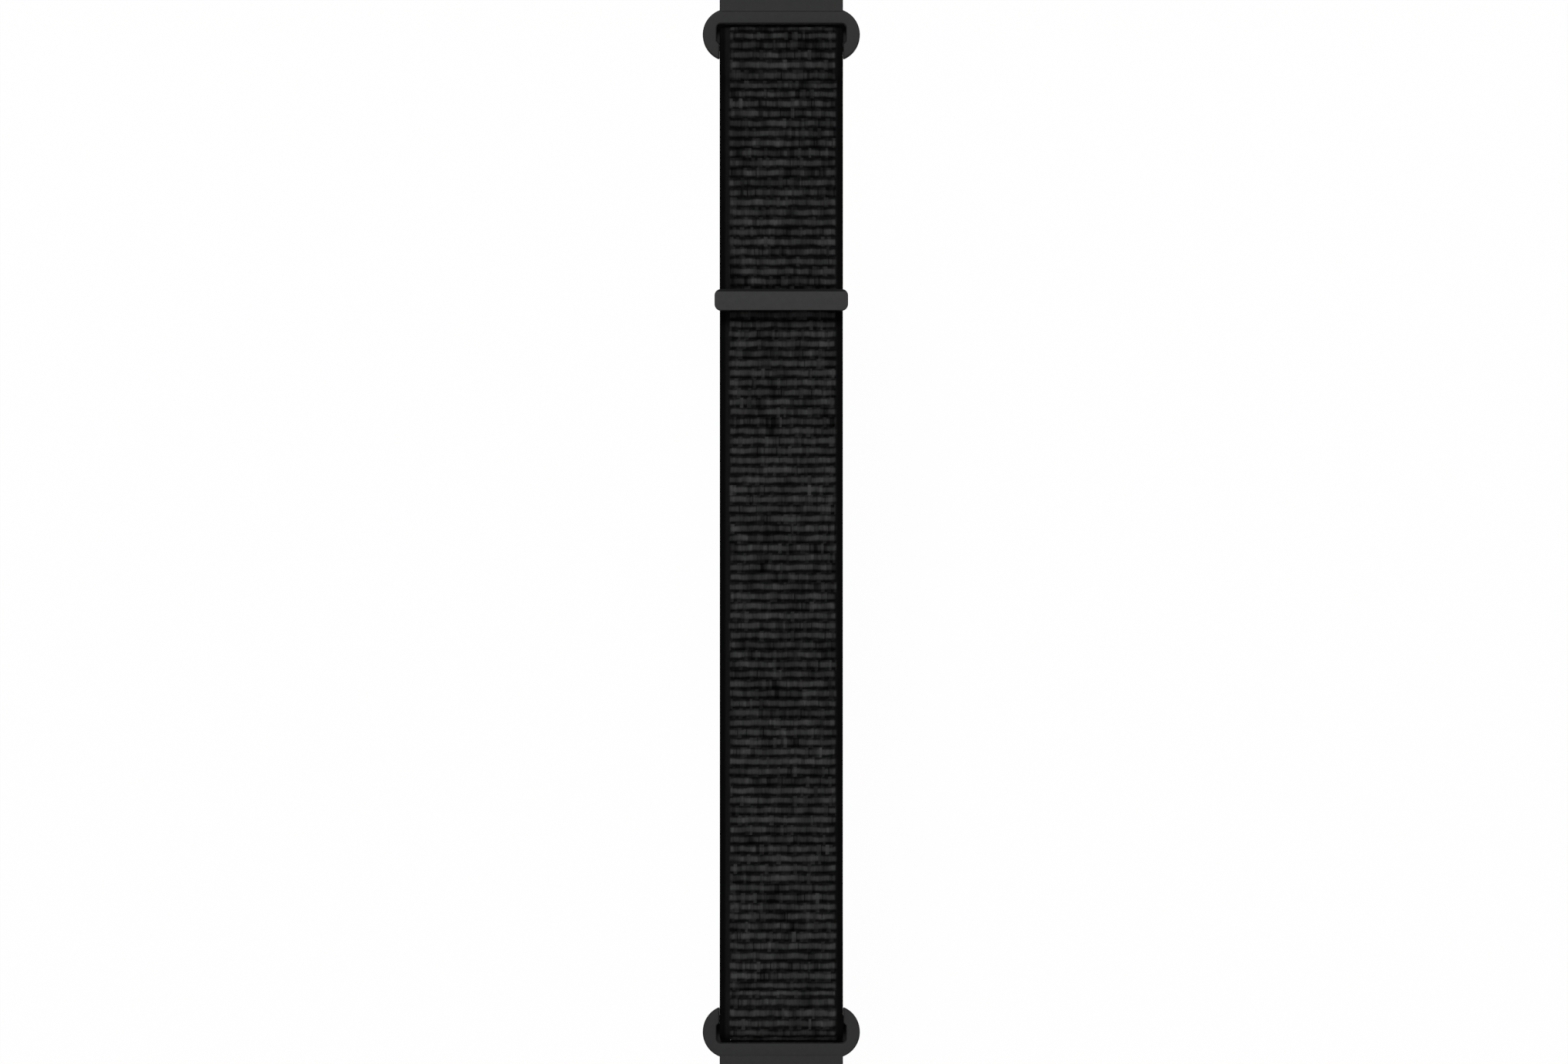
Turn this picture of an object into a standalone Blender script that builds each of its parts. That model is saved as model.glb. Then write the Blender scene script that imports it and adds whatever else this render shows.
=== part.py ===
"""Hook and loop watch strap: one long ribbed cloth strap between two quick-release lug adapters.

The strap lies flat along Y with its outer face up. At the -Y end it is folded round the adapter's bar and
sewn under itself. At the +Y end it runs under the adapter's bar, comes up through the slot and folds back as
a tail, which hook pads hold down on the strap's ribs and which ends in a moulded stop. The cloth is one piece
on the real strap. Here it is cut into lengths in the grooves between its ribs, so that it can curl.
Units are metres, Z is up, and the origin is under the middle of the strap, on the surface that it lies on.
"""

import math

import bmesh
import bpy
from mathutils import Matrix, Vector

# Cloth
STRAP_WIDTH = 0.0215
CLOTH_THICKNESS = 0.0016
BORDER_THICKNESS = 0.0010
BORDER_WIDTH = 0.00155
RIB_PITCH = 0.00172
GROOVE_DEPTH = 0.00024
RIBS_PER_LENGTH = 8
FLEX_LINES = 12
TAIL_FLEX_LINES = 3
RING_TO_FLEX_LINE = 0.01247
CUT_GAP = 0.0002
LAYER_GAP = 0.0001
CREST_SHARES = (0.28, 0.72)
RIB_INSET = 0.00002
MOST_BEND_STEP = math.radians(20)

# Folds round the bars, and the sewn flap
FOLD_REACH = 0.00165
BAR_CLEARANCE = 0.00025
OVER_BAR_RUN = 0.0023
DROP_RUN = 0.0052
FLAP_MARGIN = 0.00057
STITCH_SIDE_MARGIN = 0.0017
STITCH_RUN = 0.0026
STITCH_END_MARGIN = 0.0029
STITCH_POINTS = 24
THREAD_RADIUS = 0.00013
THREAD_HEIGHT = 0.0002
STITCH_RECESS_HEIGHT = 0.00045
STITCH_MARGIN = 0.0005

# Tail, hook pads and stop
PEEL_LINE = 0.0056
TAIL_DROP_RUN = 0.0052
PAD_THICKNESS = 0.0007
PAD_SIDE_MARGIN = 0.0007
PAD_START_MARGIN = 0.0025
PAD_TO_STOP = 0.0004
PAD_EDGE = 0.0001
STOP_SIDE_WALL = 0.00105
STOP_LENGTH = 0.0045
LAST_FLEX_TO_STOP = 0.00443
STOP_ROOF = 0.0009
STOP_END_WALL = 0.0008
STOP_CORNER = 0.0013
STOP_EDGE = 0.0006
STOP_CLEARANCE = 0.0001

# Adapter ring: the ears, the front bar and the slot between them
SLOT_SIDE_CLEARANCE = 0.0007
BOSS_CLEARANCE = 0.0003
EAR_WALL = 0.00245
EAR_RADIUS = 0.00463
RING_THICKNESS = 0.0032
RING_EDGE = 0.0005
SLOT_FRONT = 0.0021
SLOT_BACK = 0.00112
SLOT_CORNER = 0.0008
RING_INTO_BLOCK = 0.0018
NECK_INSET = 0.0002

# Strap bar
BAR_RADIUS = 0.0008
BAR_BACK = 0.00213
BAR_BLIND_WALL = 0.0013
BAR_OPEN_RECESS = 0.0008
BAR_CHAMFER = 0.0002
BAR_HOLE_CLEARANCE = 0.0001

# Lug block, with the half-round seat for the watch's lug bar
BLOCK_WIDTH = 0.0218
BLOCK_START = 0.00415
BLOCK_STEP = 0.00012
BLOCK_UNDERSIDE = 0.0010
BLOCK_EDGE = 0.00025
SEAT_CENTRE = 0.0113
SEAT_HEIGHT = 0.0027
SEAT_RADIUS = 0.00105
HOOK_WALL = 0.0009
LIP_LENGTH = 0.0009
ARC_STEPS = 8

# Latch, which slides back to open the seat
LATCH_SIDE_WALL = 0.0040
LATCH_THICKNESS = 0.0009
LATCH_BACK = 0.0068
LATCH_SHOULDER = 0.0100
NOSE_TIP = 0.0122
NOSE_THICKNESS = 0.0006
NOSE_CHAMFER = 0.00025
LATCH_TRAVEL = 0.0020
LATCH_CLEARANCE = 0.0001
THUMB_WIDTH = 0.0058
THUMB_START = 0.0074
THUMB_LENGTH = 0.0015
THUMB_DROP = 0.0003
THUMB_GROOVE = 0.00025
THUMB_GROOVE_DEPTH = 0.00015
POCKET_BACK = 0.0046

# Latch springs
SPRING_SIDE_MARGIN = 0.0015
SPRING_COIL_RADIUS = 0.0006
SPRING_WIRE_RADIUS = 0.0001
SPRING_TURNS = 5
SPRING_POINTS_A_TURN = 9
SPRING_END_GAP = 0.00015
NOTCH_DEPTH = 0.0012
SPRING_SIDE_CLEARANCE = 0.0001

# Cover plate and its screws
COVER_THICKNESS = 0.0005
COVER_SIDE_MARGIN = 0.0011
COVER_START = 0.0044
COVER_END = 0.0100
COVER_EDGE = 0.00012
WINDOW_CLEARANCE = 0.0003
SCREW_SIDE_MARGIN = 0.0025
SCREW_PLACE = 0.0073
SCREW_HEAD_RADIUS = 0.0009
SCREW_SHANK_RADIUS = 0.0005
SCREW_HEAD_HEIGHT = 0.0004
SCREW_LENGTH = 0.0027
SCREW_SINK = 0.00003
SCREW_CLEARANCE = 0.0001
DRIVE_LENGTH = 0.0011
DRIVE_WIDTH = 0.0002
DRIVE_DEPTH = 0.0002
TURN_STEPS = 16

# How far a cutter runs past what it cuts, and how near points are welded
OVERRUN = 0.0005
WELD = 0.000001

# Worked out from the sizes above
RIBBED_WIDTH = STRAP_WIDTH - 2 * BORDER_WIDTH
STITCH_WIDTH = RIBBED_WIDTH - 2 * STITCH_SIDE_MARGIN
PAD_WIDTH = RIBBED_WIDTH - 2 * PAD_SIDE_MARGIN
STOP_WIDTH = STRAP_WIDTH + 2 * STOP_SIDE_WALL
SLOT_WIDTH = STRAP_WIDTH + 2 * SLOT_SIDE_CLEARANCE
BOSS_SPACING = STRAP_WIDTH + 2 * BOSS_CLEARANCE
RING_WIDTH = SLOT_WIDTH + 2 * EAR_WALL
BAR_BLIND_END = RING_WIDTH / 2 - BAR_BLIND_WALL
BAR_OPEN_END = RING_WIDTH / 2 - BAR_OPEN_RECESS
LATCH_WIDTH = BLOCK_WIDTH - 2 * LATCH_SIDE_WALL
COVER_WIDTH = BLOCK_WIDTH - 2 * COVER_SIDE_MARGIN
SCREW_SPREAD = BLOCK_WIDTH / 2 - SCREW_SIDE_MARGIN
SPRING_SPREAD = LATCH_WIDTH / 2 - SPRING_SIDE_MARGIN
LENGTH = RIBS_PER_LENGTH * RIB_PITCH
RING_Y = RING_TO_FLEX_LINE + (FLEX_LINES - 1) * LENGTH / 2
FLAP_END = RING_TO_FLEX_LINE - FLAP_MARGIN
STITCH_MIDDLE = FLAP_END - STITCH_END_MARGIN
FOLD_INNER = BAR_RADIUS + BAR_CLEARANCE
BAR_Z = CLOTH_THICKNESS + FOLD_INNER
FOLD_RADIUS = FOLD_INNER + CLOTH_THICKNESS / 2
FOLD_BACK = FOLD_INNER + CLOTH_THICKNESS - FOLD_REACH
LOW_LAYER = CLOTH_THICKNESS / 2
TOP_LAYER = BAR_Z + FOLD_RADIUS
FLAP_LAYER = LOW_LAYER + CLOTH_THICKNESS + LAYER_GAP
TAIL_LAYER = LOW_LAYER + CLOTH_THICKNESS + PAD_THICKNESS + 2 * LAYER_GAP
BLOCK_TOP = SEAT_HEIGHT + SEAT_RADIUS + HOOK_WALL
LATCH_BOTTOM = BLOCK_UNDERSIDE
COVER_TOP = BLOCK_UNDERSIDE - LATCH_CLEARANCE
COVER_BOTTOM = COVER_TOP - COVER_THICKNESS
SPRING_Z = COVER_TOP + SPRING_SIDE_CLEARANCE + SPRING_COIL_RADIUS + SPRING_WIRE_RADIUS
ALONG_X = (math.radians(90), 0, math.radians(90))
ALONG_Y = (math.radians(90), 0, 0)
ALONG_Z = (0, 0, 0)


class Route:
    """A line in the YZ plane, made of straight runs and round bends and read by its arc length."""

    def __init__(self, y, z, heading):
        self.end = Vector((y, z))
        self.heading = heading
        self.pieces = []
        self.length = 0.0

    def straight(self, run):
        """Adds a straight run."""
        self.pieces.append((self.length, run, self.end.copy(), self.heading, 0.0))
        self.end += run * Vector((math.cos(self.heading), math.sin(self.heading)))
        self.length += run
        return self

    def bend(self, radius, angle):
        """Adds a round bend, to the left where the angle is positive."""
        run = radius * abs(angle)
        self.pieces.append((self.length, run, self.end.copy(), self.heading, angle))
        self.length += run
        self.end, _ = self.at(self.length)
        self.heading += angle
        return self

    def shift(self, run, left):
        """Adds two bends that move the line sideways over a run."""
        side = abs(left)
        radius = (run * run + side * side) / (4 * side)
        angle = math.copysign(2 * math.atan2(side, run), left)
        return self.bend(radius, angle).bend(radius, -angle)

    def at(self, place):
        """The point at an arc length, and the normal to its left."""
        piece = next((p for p in self.pieces if place <= p[0] + p[1]), self.pieces[-1])
        begin, run, start, heading, angle = piece
        part = place - begin
        if angle == 0.0:
            point = start + part * Vector((math.cos(heading), math.sin(heading)))
            return point, Vector((-math.sin(heading), math.cos(heading)))
        radius = math.copysign(run / abs(angle), angle)
        centre = start + radius * Vector((-math.sin(heading), math.cos(heading)))
        turned = heading + angle * part / run
        normal = Vector((-math.sin(turned), math.cos(turned)))
        return centre - radius * normal, normal

    def stations(self):
        """Arc lengths at the ends of the runs and along the bends."""
        found = [0.0]
        for begin, run, _, _, angle in self.pieces:
            steps = max(1, math.ceil(abs(angle) / MOST_BEND_STEP))
            found += [begin + run * (i + 1) / steps for i in range(steps)]
        return found

    def offset(self, places):
        """Points beside the line. Each place is an arc length and a distance to the left."""
        return [point + side * normal for place, side in places for point, normal in [self.at(place)]]


def clear_scene():
    """Empties the scene and makes the two collections."""
    for old in list(bpy.data.objects):
        bpy.data.objects.remove(old, do_unlink=True)
    made = []
    for name in ("hook_and_loop_watch_strap", "cutters"):
        collection = bpy.data.collections.new(name)
        bpy.context.scene.collection.children.link(collection)
        made.append(collection)
    return made


def material(name, colour, roughness, metallic=0.0):
    """A plain Principled material."""
    made = bpy.data.materials.new(name)
    made.use_nodes = True
    shader = made.node_tree.nodes["Principled BSDF"]
    shader.inputs["Base Color"].default_value = (*colour, 1.0)
    shader.inputs["Roughness"].default_value = roughness
    shader.inputs["Metallic"].default_value = metallic
    return made


def mesh_from(maker, name, turn=ALONG_Z):
    """Makes a curve object's shape a welded and closed mesh, turned into place, and removes the curve."""
    bpy.context.scene.collection.objects.link(maker)
    bpy.context.view_layer.update()
    graph = bpy.context.evaluated_depsgraph_get()
    mesh = bpy.data.meshes.new_from_object(maker.evaluated_get(graph))
    mesh.name = name
    bpy.data.objects.remove(maker, do_unlink=True)
    mesh.transform(Matrix.Rotation(turn[2], 4, "Z") @ Matrix.Rotation(turn[0], 4, "X"))
    form = bmesh.new()
    form.from_mesh(mesh)
    bmesh.ops.remove_doubles(form, verts=form.verts, dist=WELD)
    bmesh.ops.holes_fill(form, edges=[edge for edge in form.edges if edge.is_boundary], sides=0)
    bmesh.ops.recalc_face_normals(form, faces=form.faces)
    form.to_mesh(mesh)
    form.free()
    return mesh


def prism(name, outline, depth, turn, edge=0.0):
    """A flat outline given a thickness, centred on its plane, with its two rims rounded by edge.

    A sharp outline's two ends are left open here and closed as one face each, because the curve's own
    fill leaves gaps between points that lie in line, such as the grooves of the ribs.
    """
    curve = bpy.data.curves.new(name, "CURVE")
    curve.dimensions = "2D"
    curve.fill_mode = "BOTH" if edge else "NONE"
    curve.extrude = depth / 2 - edge
    curve.bevel_depth = edge
    curve.bevel_resolution = 1
    curve.offset = -edge
    spline = curve.splines.new("POLY")
    spline.points.add(len(outline) - 1)
    for point, place in zip(spline.points, outline):
        point.co = (*place, 0.0, 1.0)
    spline.use_cyclic_u = True
    return mesh_from(bpy.data.objects.new(name, curve), name, turn)


def tube(name, points, radius):
    """A wire along points, with closed ends."""
    curve = bpy.data.curves.new(name, "CURVE")
    curve.dimensions = "3D"
    curve.bevel_depth = radius
    curve.bevel_resolution = 1
    curve.use_fill_caps = True
    spline = curve.splines.new("POLY")
    spline.points.add(len(points) - 1)
    for point, place in zip(spline.points, points):
        point.co = (*place, 1.0)
    return mesh_from(bpy.data.objects.new(name, curve), name)


def moved(mesh, place):
    """The mesh after a move."""
    mesh.transform(Matrix.Translation(place))
    return mesh


def box(name, low, high):
    """A box between two corners."""
    low, high = Vector(low), Vector(high)
    form = bmesh.new()
    bmesh.ops.create_cube(form, size=1.0)
    bmesh.ops.scale(form, vec=high - low, verts=form.verts)
    bmesh.ops.translate(form, vec=(low + high) / 2, verts=form.verts)
    mesh = bpy.data.meshes.new(name)
    form.to_mesh(mesh)
    form.free()
    return mesh


def rod(name, radius, low, high, y, z, steps=TURN_STEPS):
    """A round rod along X."""
    form = bmesh.new()
    bmesh.ops.create_cone(
        form, cap_ends=True, segments=steps, radius1=radius, radius2=radius, depth=high - low
    )
    bmesh.ops.rotate(form, cent=(0, 0, 0), matrix=Matrix.Rotation(math.radians(90), 3, "Y"), verts=form.verts)
    bmesh.ops.translate(form, vec=((low + high) / 2, y, z), verts=form.verts)
    mesh = bpy.data.meshes.new(name)
    form.to_mesh(mesh)
    form.free()
    return mesh


class Workshop:
    """Puts meshes into the scene as named parts and as hidden cutters."""

    def __init__(self, parts, cutters):
        self.parts = parts
        self.cutters = cutters

    def part(self, name, mesh, finish, parent, frame):
        """A named part under its joint's empty. The frame carries the mesh's axes to the parent's."""
        made = bpy.data.objects.new(name, mesh)
        mesh.materials.append(finish)
        mesh.shade_smooth()
        mesh.set_sharp_from_angle(angle=math.radians(35))
        self.parts.objects.link(made)
        made.parent = parent
        made.matrix_parent_inverse = frame
        return made

    def change(self, target, mesh, operation):
        """Cuts a mesh out of a part, or joins it on, with a live Boolean."""
        tool = bpy.data.objects.new(f"{target.name}_{operation.lower()}_{len(target.modifiers)}", mesh)
        tool.hide_render = True
        tool.display_type = "WIRE"
        self.cutters.objects.link(tool)
        tool.parent = target.parent
        tool.matrix_parent_inverse = target.matrix_parent_inverse.copy()
        modifier = target.modifiers.new(operation.lower(), "BOOLEAN")
        modifier.operation = operation
        modifier.object = tool
        return target

    def cut(self, target, mesh):
        """Cuts a mesh out of a part."""
        return self.change(target, mesh, "DIFFERENCE")

    def join(self, target, mesh):
        """Joins a mesh to a part."""
        return self.change(target, mesh, "UNION")

    def soften(self, target, width):
        """Rounds a part's edges."""
        bevel = target.modifiers.new("edges", "BEVEL")
        bevel.width = width
        bevel.segments = 2
        bevel.limit_method = "ANGLE"
        bevel.angle_limit = math.radians(40)
        return target

    def joint(self, name, place, parent=None, turn=0.0):
        """An empty on a joint's axis."""
        made = bpy.data.objects.new(name, None)
        made.empty_display_size = STRAP_WIDTH / 2
        self.parts.objects.link(made)
        made.location = place
        made.rotation_euler = (0, 0, turn)
        if parent:
            bpy.context.view_layer.update()
            made.parent = parent
            made.matrix_parent_inverse = parent.matrix_world.inverted()
        bpy.context.view_layer.update()
        return made


def flex_line(number):
    """The Y of a flex line, from 1 at the sewn end to the last one at the tail's end."""
    return -RING_Y + RING_TO_FLEX_LINE + (number - 1) * LENGTH


def stop_ends():
    """The Y of the stop's far and near ends."""
    near = flex_line(FLEX_LINES - TAIL_FLEX_LINES + 1) - LAST_FLEX_TO_STOP
    return near - STOP_LENGTH, near


def flat_outline(route, thickness):
    """A cloth strip's outline with plain faces."""
    places = route.stations()
    left = route.offset([(place, thickness / 2) for place in places])
    right = route.offset([(place, -thickness / 2) for place in reversed(places)])
    return left + right


def ribbed_outline(route):
    """A cloth strip's outline with ribs across both faces. It starts and ends in a groove, just short."""
    crest = CLOTH_THICKNESS / 2
    groove = crest - GROOVE_DEPTH
    ribs = max(1, round(route.length / RIB_PITCH))
    pitch = (route.length - 2 * RIB_INSET) / ribs
    profile = []
    for rib in range(ribs):
        start = RIB_INSET + rib * pitch
        profile.append((start, groove))
        profile += [(start + share * pitch, crest) for share in CREST_SHARES]
    profile.append((RIB_INSET + ribs * pitch, groove))
    left = route.offset(profile)
    right = route.offset([(place, -side) for place, side in reversed(profile)])
    return left + right


def cloth(shop, name, route, finish, parent):
    """A length of strap: a thin full-width tape, joined to a thicker ribbed field inside its borders."""
    frame = parent.matrix_world.inverted()
    tape = prism(name, flat_outline(route, BORDER_THICKNESS), STRAP_WIDTH, ALONG_X)
    made = shop.part(name, tape, finish, parent, frame)
    ribs = prism(f"{name}_ribs", ribbed_outline(route), RIBBED_WIDTH, ALONG_X)
    return shop.join(made, ribs)


def sewn_end_route():
    """From the flap's free end round the bar, over it, and down to the first flex line."""
    ring = -RING_Y
    route = Route(ring + FLAP_END, LOW_LAYER, math.pi)
    route.straight(FLAP_END - FOLD_BACK)
    route.bend(FOLD_RADIUS, -math.pi)
    route.straight(OVER_BAR_RUN)
    route.shift(DROP_RUN, FLAP_LAYER - TOP_LAYER)
    route.straight(flex_line(1) - CUT_GAP / 2 - route.end.x)
    return route


def tail_fold_route():
    """From the last flex line under the bar, up through the slot, and back over the bar."""
    start = flex_line(FLEX_LINES) + CUT_GAP / 2
    route = Route(start, LOW_LAYER, 0.0)
    route.straight(RING_Y - FOLD_BACK - start)
    route.bend(FOLD_RADIUS, math.pi)
    route.straight(route.end.x - (RING_Y - PEEL_LINE) - CUT_GAP / 2)
    return route


def build_strap(shop, finish):
    """The main cloth, as lengths that hinge on their lower faces, from the middle length outwards."""
    middle = FLEX_LINES // 2
    joints = {middle: shop.joint("strap_middle", (0, 0, 0))}
    for number in range(middle + 1, FLEX_LINES + 1):
        place = (0, flex_line(number), 0)
        joints[number] = shop.joint(f"flex_{number:02d}", place, joints[number - 1])
    for number in range(middle, 0, -1):
        height = FLAP_LAYER - CLOTH_THICKNESS / 2 if number == 1 else 0
        place = (0, flex_line(number), height)
        joints[number - 1] = shop.joint(f"flex_{number:02d}", place, joints[number])
    cloth(shop, "strap_sewn_end", sewn_end_route(), finish, joints[0])
    for number in range(1, FLEX_LINES):
        start = flex_line(number) + CUT_GAP / 2
        route = Route(start, FLAP_LAYER if number == 1 else LOW_LAYER, 0.0)
        if number == 1:
            route.shift(LENGTH - CUT_GAP, LOW_LAYER - FLAP_LAYER)
        else:
            route.straight(LENGTH - CUT_GAP)
        cloth(shop, f"strap_length_{number:02d}", route, finish, joints[number])
    cloth(shop, "strap_tail_fold", tail_fold_route(), finish, joints[FLEX_LINES])
    return joints


def build_stitching(shop, finish, sewn_end):
    """The zigzag of thread that holds the flap, in a strip pressed flat on its underside."""
    middle = -RING_Y + STITCH_MIDDLE
    half = STITCH_WIDTH / 2
    points = []
    for number in range(STITCH_POINTS):
        share = number / (STITCH_POINTS - 1)
        side = STITCH_RUN / 2 if number % 2 else -STITCH_RUN / 2
        points.append((-half + share * STITCH_WIDTH, middle + side, THREAD_HEIGHT))
    parent = sewn_end.parent
    frame = sewn_end.matrix_parent_inverse.copy()
    shop.part("flap_stitching", tube("flap_stitching", points, THREAD_RADIUS), finish, parent, frame)
    reach = Vector((half + STITCH_MARGIN, STITCH_RUN / 2 + STITCH_MARGIN, 0))
    low = Vector((0, middle, -OVERRUN)) - reach
    high = Vector((0, middle, STITCH_RECESS_HEIGHT)) + reach
    shop.cut(sewn_end, box("stitch_recess", low, high))


def build_tail(shop, finish, joints):
    """The tail's lengths. The first turns on the peel line and the rest on the strap's own flex lines."""
    peel = shop.joint("peel", (0, RING_Y - PEEL_LINE, TOP_LAYER + LOW_LAYER), joints[FLEX_LINES])
    start = RING_Y - PEEL_LINE - CUT_GAP / 2
    route = Route(start, TOP_LAYER, math.pi)
    route.shift(TAIL_DROP_RUN, TOP_LAYER - TAIL_LAYER)
    route.straight(route.end.x - flex_line(FLEX_LINES) - CUT_GAP / 2)
    cloth(shop, "tail_root", route, finish, peel)
    parent = peel
    made = []
    tip = stop_ends()[0] + STOP_END_WALL + STOP_CLEARANCE
    for step in range(TAIL_FLEX_LINES):
        last = step == TAIL_FLEX_LINES - 1
        line = flex_line(FLEX_LINES - step)
        parent = shop.joint(f"tail_flex_{step + 1}", (0, line, 0), parent)
        start = line - CUT_GAP / 2
        end = tip if last else flex_line(FLEX_LINES - step - 1) + CUT_GAP / 2
        route = Route(start, TAIL_LAYER, math.pi).straight(start - end)
        cloth(shop, "tail_tip" if last else f"tail_length_{step + 1}", route, finish, parent)
        made.append(parent)
    return made


def build_hook_pads(shop, finish, tail_joints):
    """Flat hook tapes under the tail, one for each length of it."""
    low = CLOTH_THICKNESS + LAYER_GAP
    for step, parent in enumerate(tail_joints):
        start = flex_line(FLEX_LINES - step) - (CUT_GAP / 2 if step else PAD_START_MARGIN)
        end = flex_line(FLEX_LINES - step - 1) + CUT_GAP / 2
        if step == len(tail_joints) - 1:
            end = stop_ends()[1] + PAD_TO_STOP
        name = f"hook_pad_{step + 1}"
        mesh = box(name, (-PAD_WIDTH / 2, end, low), (PAD_WIDTH / 2, start, low + PAD_THICKNESS))
        pad = shop.part(name, mesh, finish, parent, parent.matrix_world.inverted())
        shop.soften(pad, PAD_EDGE)


def rounded_rectangle(width, height, corner):
    """An outline centred on the origin."""
    points = []
    for quarter in range(4):
        side_x = 1 if quarter in (0, 3) else -1
        side_y = 1 if quarter < 2 else -1
        for step in range(ARC_STEPS // 2 + 1):
            angle = math.radians(90) * (quarter + step / (ARC_STEPS // 2))
            x = side_x * (width / 2 - corner) + corner * math.cos(angle)
            y = side_y * (height / 2 - corner) + corner * math.sin(angle)
            points.append((x, y))
    return points


def build_stop(shop, finish, parent):
    """The moulded stop, with a blind pocket that the tail's tip fills."""
    bottom = CLOTH_THICKNESS + LAYER_GAP
    pocket_low = TAIL_LAYER - CLOTH_THICKNESS / 2 - STOP_CLEARANCE
    pocket_high = TAIL_LAYER + CLOTH_THICKNESS / 2 + STOP_CLEARANCE
    top = pocket_high + STOP_ROOF
    far, near = stop_ends()
    outline = rounded_rectangle(STOP_WIDTH, top - bottom, STOP_CORNER)
    shell = prism("tail_stop", outline, STOP_LENGTH, ALONG_Y, STOP_EDGE)
    moved(shell, (0, (near + far) / 2, (top + bottom) / 2))
    made = shop.part("tail_stop", shell, finish, parent, parent.matrix_world.inverted())
    half = STRAP_WIDTH / 2 + STOP_CLEARANCE
    pocket = box(
        "tail_stop_pocket",
        (-half, far + STOP_END_WALL, pocket_low),
        (half, near + OVERRUN, pocket_high),
    )
    shop.cut(made, pocket)


def ring_outline():
    """The ring seen from above: both ears, the slot's front and sides, and the neck into the lug block."""
    ear = RING_WIDTH / 2 - EAR_RADIUS
    neck = BLOCK_WIDTH / 2 - NECK_INSET
    first = math.acos((neck - ear) / EAR_RADIUS)
    last = -math.acos((BOSS_SPACING / 2 - ear) / EAR_RADIUS)
    half = [(neck, BLOCK_START + RING_INTO_BLOCK)]
    for step in range(2 * ARC_STEPS + 1):
        angle = first + (last - first) * step / (2 * ARC_STEPS)
        half.append((ear + EAR_RADIUS * math.cos(angle), EAR_RADIUS * math.sin(angle)))
    side = SLOT_WIDTH / 2
    half.append((BOSS_SPACING / 2, -SLOT_BACK - (side - BOSS_SPACING / 2)))
    half.append((side, -SLOT_BACK))
    for step in range(ARC_STEPS // 2 + 1):
        angle = math.radians(90) * step / (ARC_STEPS // 2)
        x = side - SLOT_CORNER + SLOT_CORNER * math.cos(angle)
        half.append((x, SLOT_FRONT - SLOT_CORNER + SLOT_CORNER * math.sin(angle)))
    return half + [(-x, y) for x, y in reversed(half)]


def block_outline():
    """The lug block seen from the side: its sloping top, the hook and the half-round seat, open below."""
    ring_top = BAR_Z + RING_THICKNESS / 2
    outer = SEAT_RADIUS + HOOK_WALL
    outline = [(BLOCK_START, BLOCK_UNDERSIDE), (BLOCK_START, ring_top + BLOCK_STEP)]
    for step in range(ARC_STEPS + 1):
        angle = math.radians(90) * (1 - step / ARC_STEPS)
        outline.append((SEAT_CENTRE + outer * math.cos(angle), SEAT_HEIGHT + outer * math.sin(angle)))
    lip_end = SEAT_CENTRE + SEAT_RADIUS + LIP_LENGTH
    outline.append((lip_end, BLOCK_UNDERSIDE + LIP_LENGTH / 3))
    outline.append((lip_end - LIP_LENGTH / 3, BLOCK_UNDERSIDE))
    outline.append((SEAT_CENTRE + SEAT_RADIUS, BLOCK_UNDERSIDE))
    for step in range(ARC_STEPS + 1):
        angle = math.radians(180) * step / ARC_STEPS
        place = SEAT_CENTRE + SEAT_RADIUS * math.cos(angle)
        outline.append((place, SEAT_HEIGHT + SEAT_RADIUS * math.sin(angle)))
    outline.append((SEAT_CENTRE - SEAT_RADIUS, BLOCK_UNDERSIDE))
    return outline


def screw_profile(clearance, head_overrun):
    """Half a countersunk screw as a turned profile, head up, from the top of the head to the tip."""
    head = SCREW_HEAD_RADIUS + clearance
    shank = SCREW_SHANK_RADIUS + clearance
    return [
        (0, head_overrun),
        (head, head_overrun),
        (head, -SCREW_HEAD_HEIGHT / 4),
        (shank, -SCREW_HEAD_HEIGHT),
        (shank, -SCREW_LENGTH - clearance),
        (0, -SCREW_LENGTH - clearance),
    ]


def turned(name, profile):
    """A profile at +X turned round Z with a Screw modifier, as a closed mesh."""
    mesh = bpy.data.meshes.new(name)
    form = bmesh.new()
    corners = [form.verts.new((x, 0, z)) for x, z in profile]
    for one, two in zip(corners, corners[1:]):
        form.edges.new((one, two))
    form.to_mesh(mesh)
    form.free()
    maker = bpy.data.objects.new(name, mesh)
    screw = maker.modifiers.new("turn", "SCREW")
    screw.axis = "Z"
    screw.steps = TURN_STEPS
    screw.render_steps = TURN_STEPS
    screw.use_merge_vertices = True
    screw.merge_threshold = WELD
    return mesh_from(maker, name)


def screw_mesh(name, side, clearance=0.0, head_overrun=0.0):
    """A screw, or its clearance hole, in its place with its head facing down."""
    mesh = turned(name, screw_profile(clearance, head_overrun))
    mesh.transform(Matrix.Rotation(math.pi, 4, "X"))
    return moved(mesh, (side * SCREW_SPREAD, SCREW_PLACE, COVER_BOTTOM + SCREW_SINK))


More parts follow.
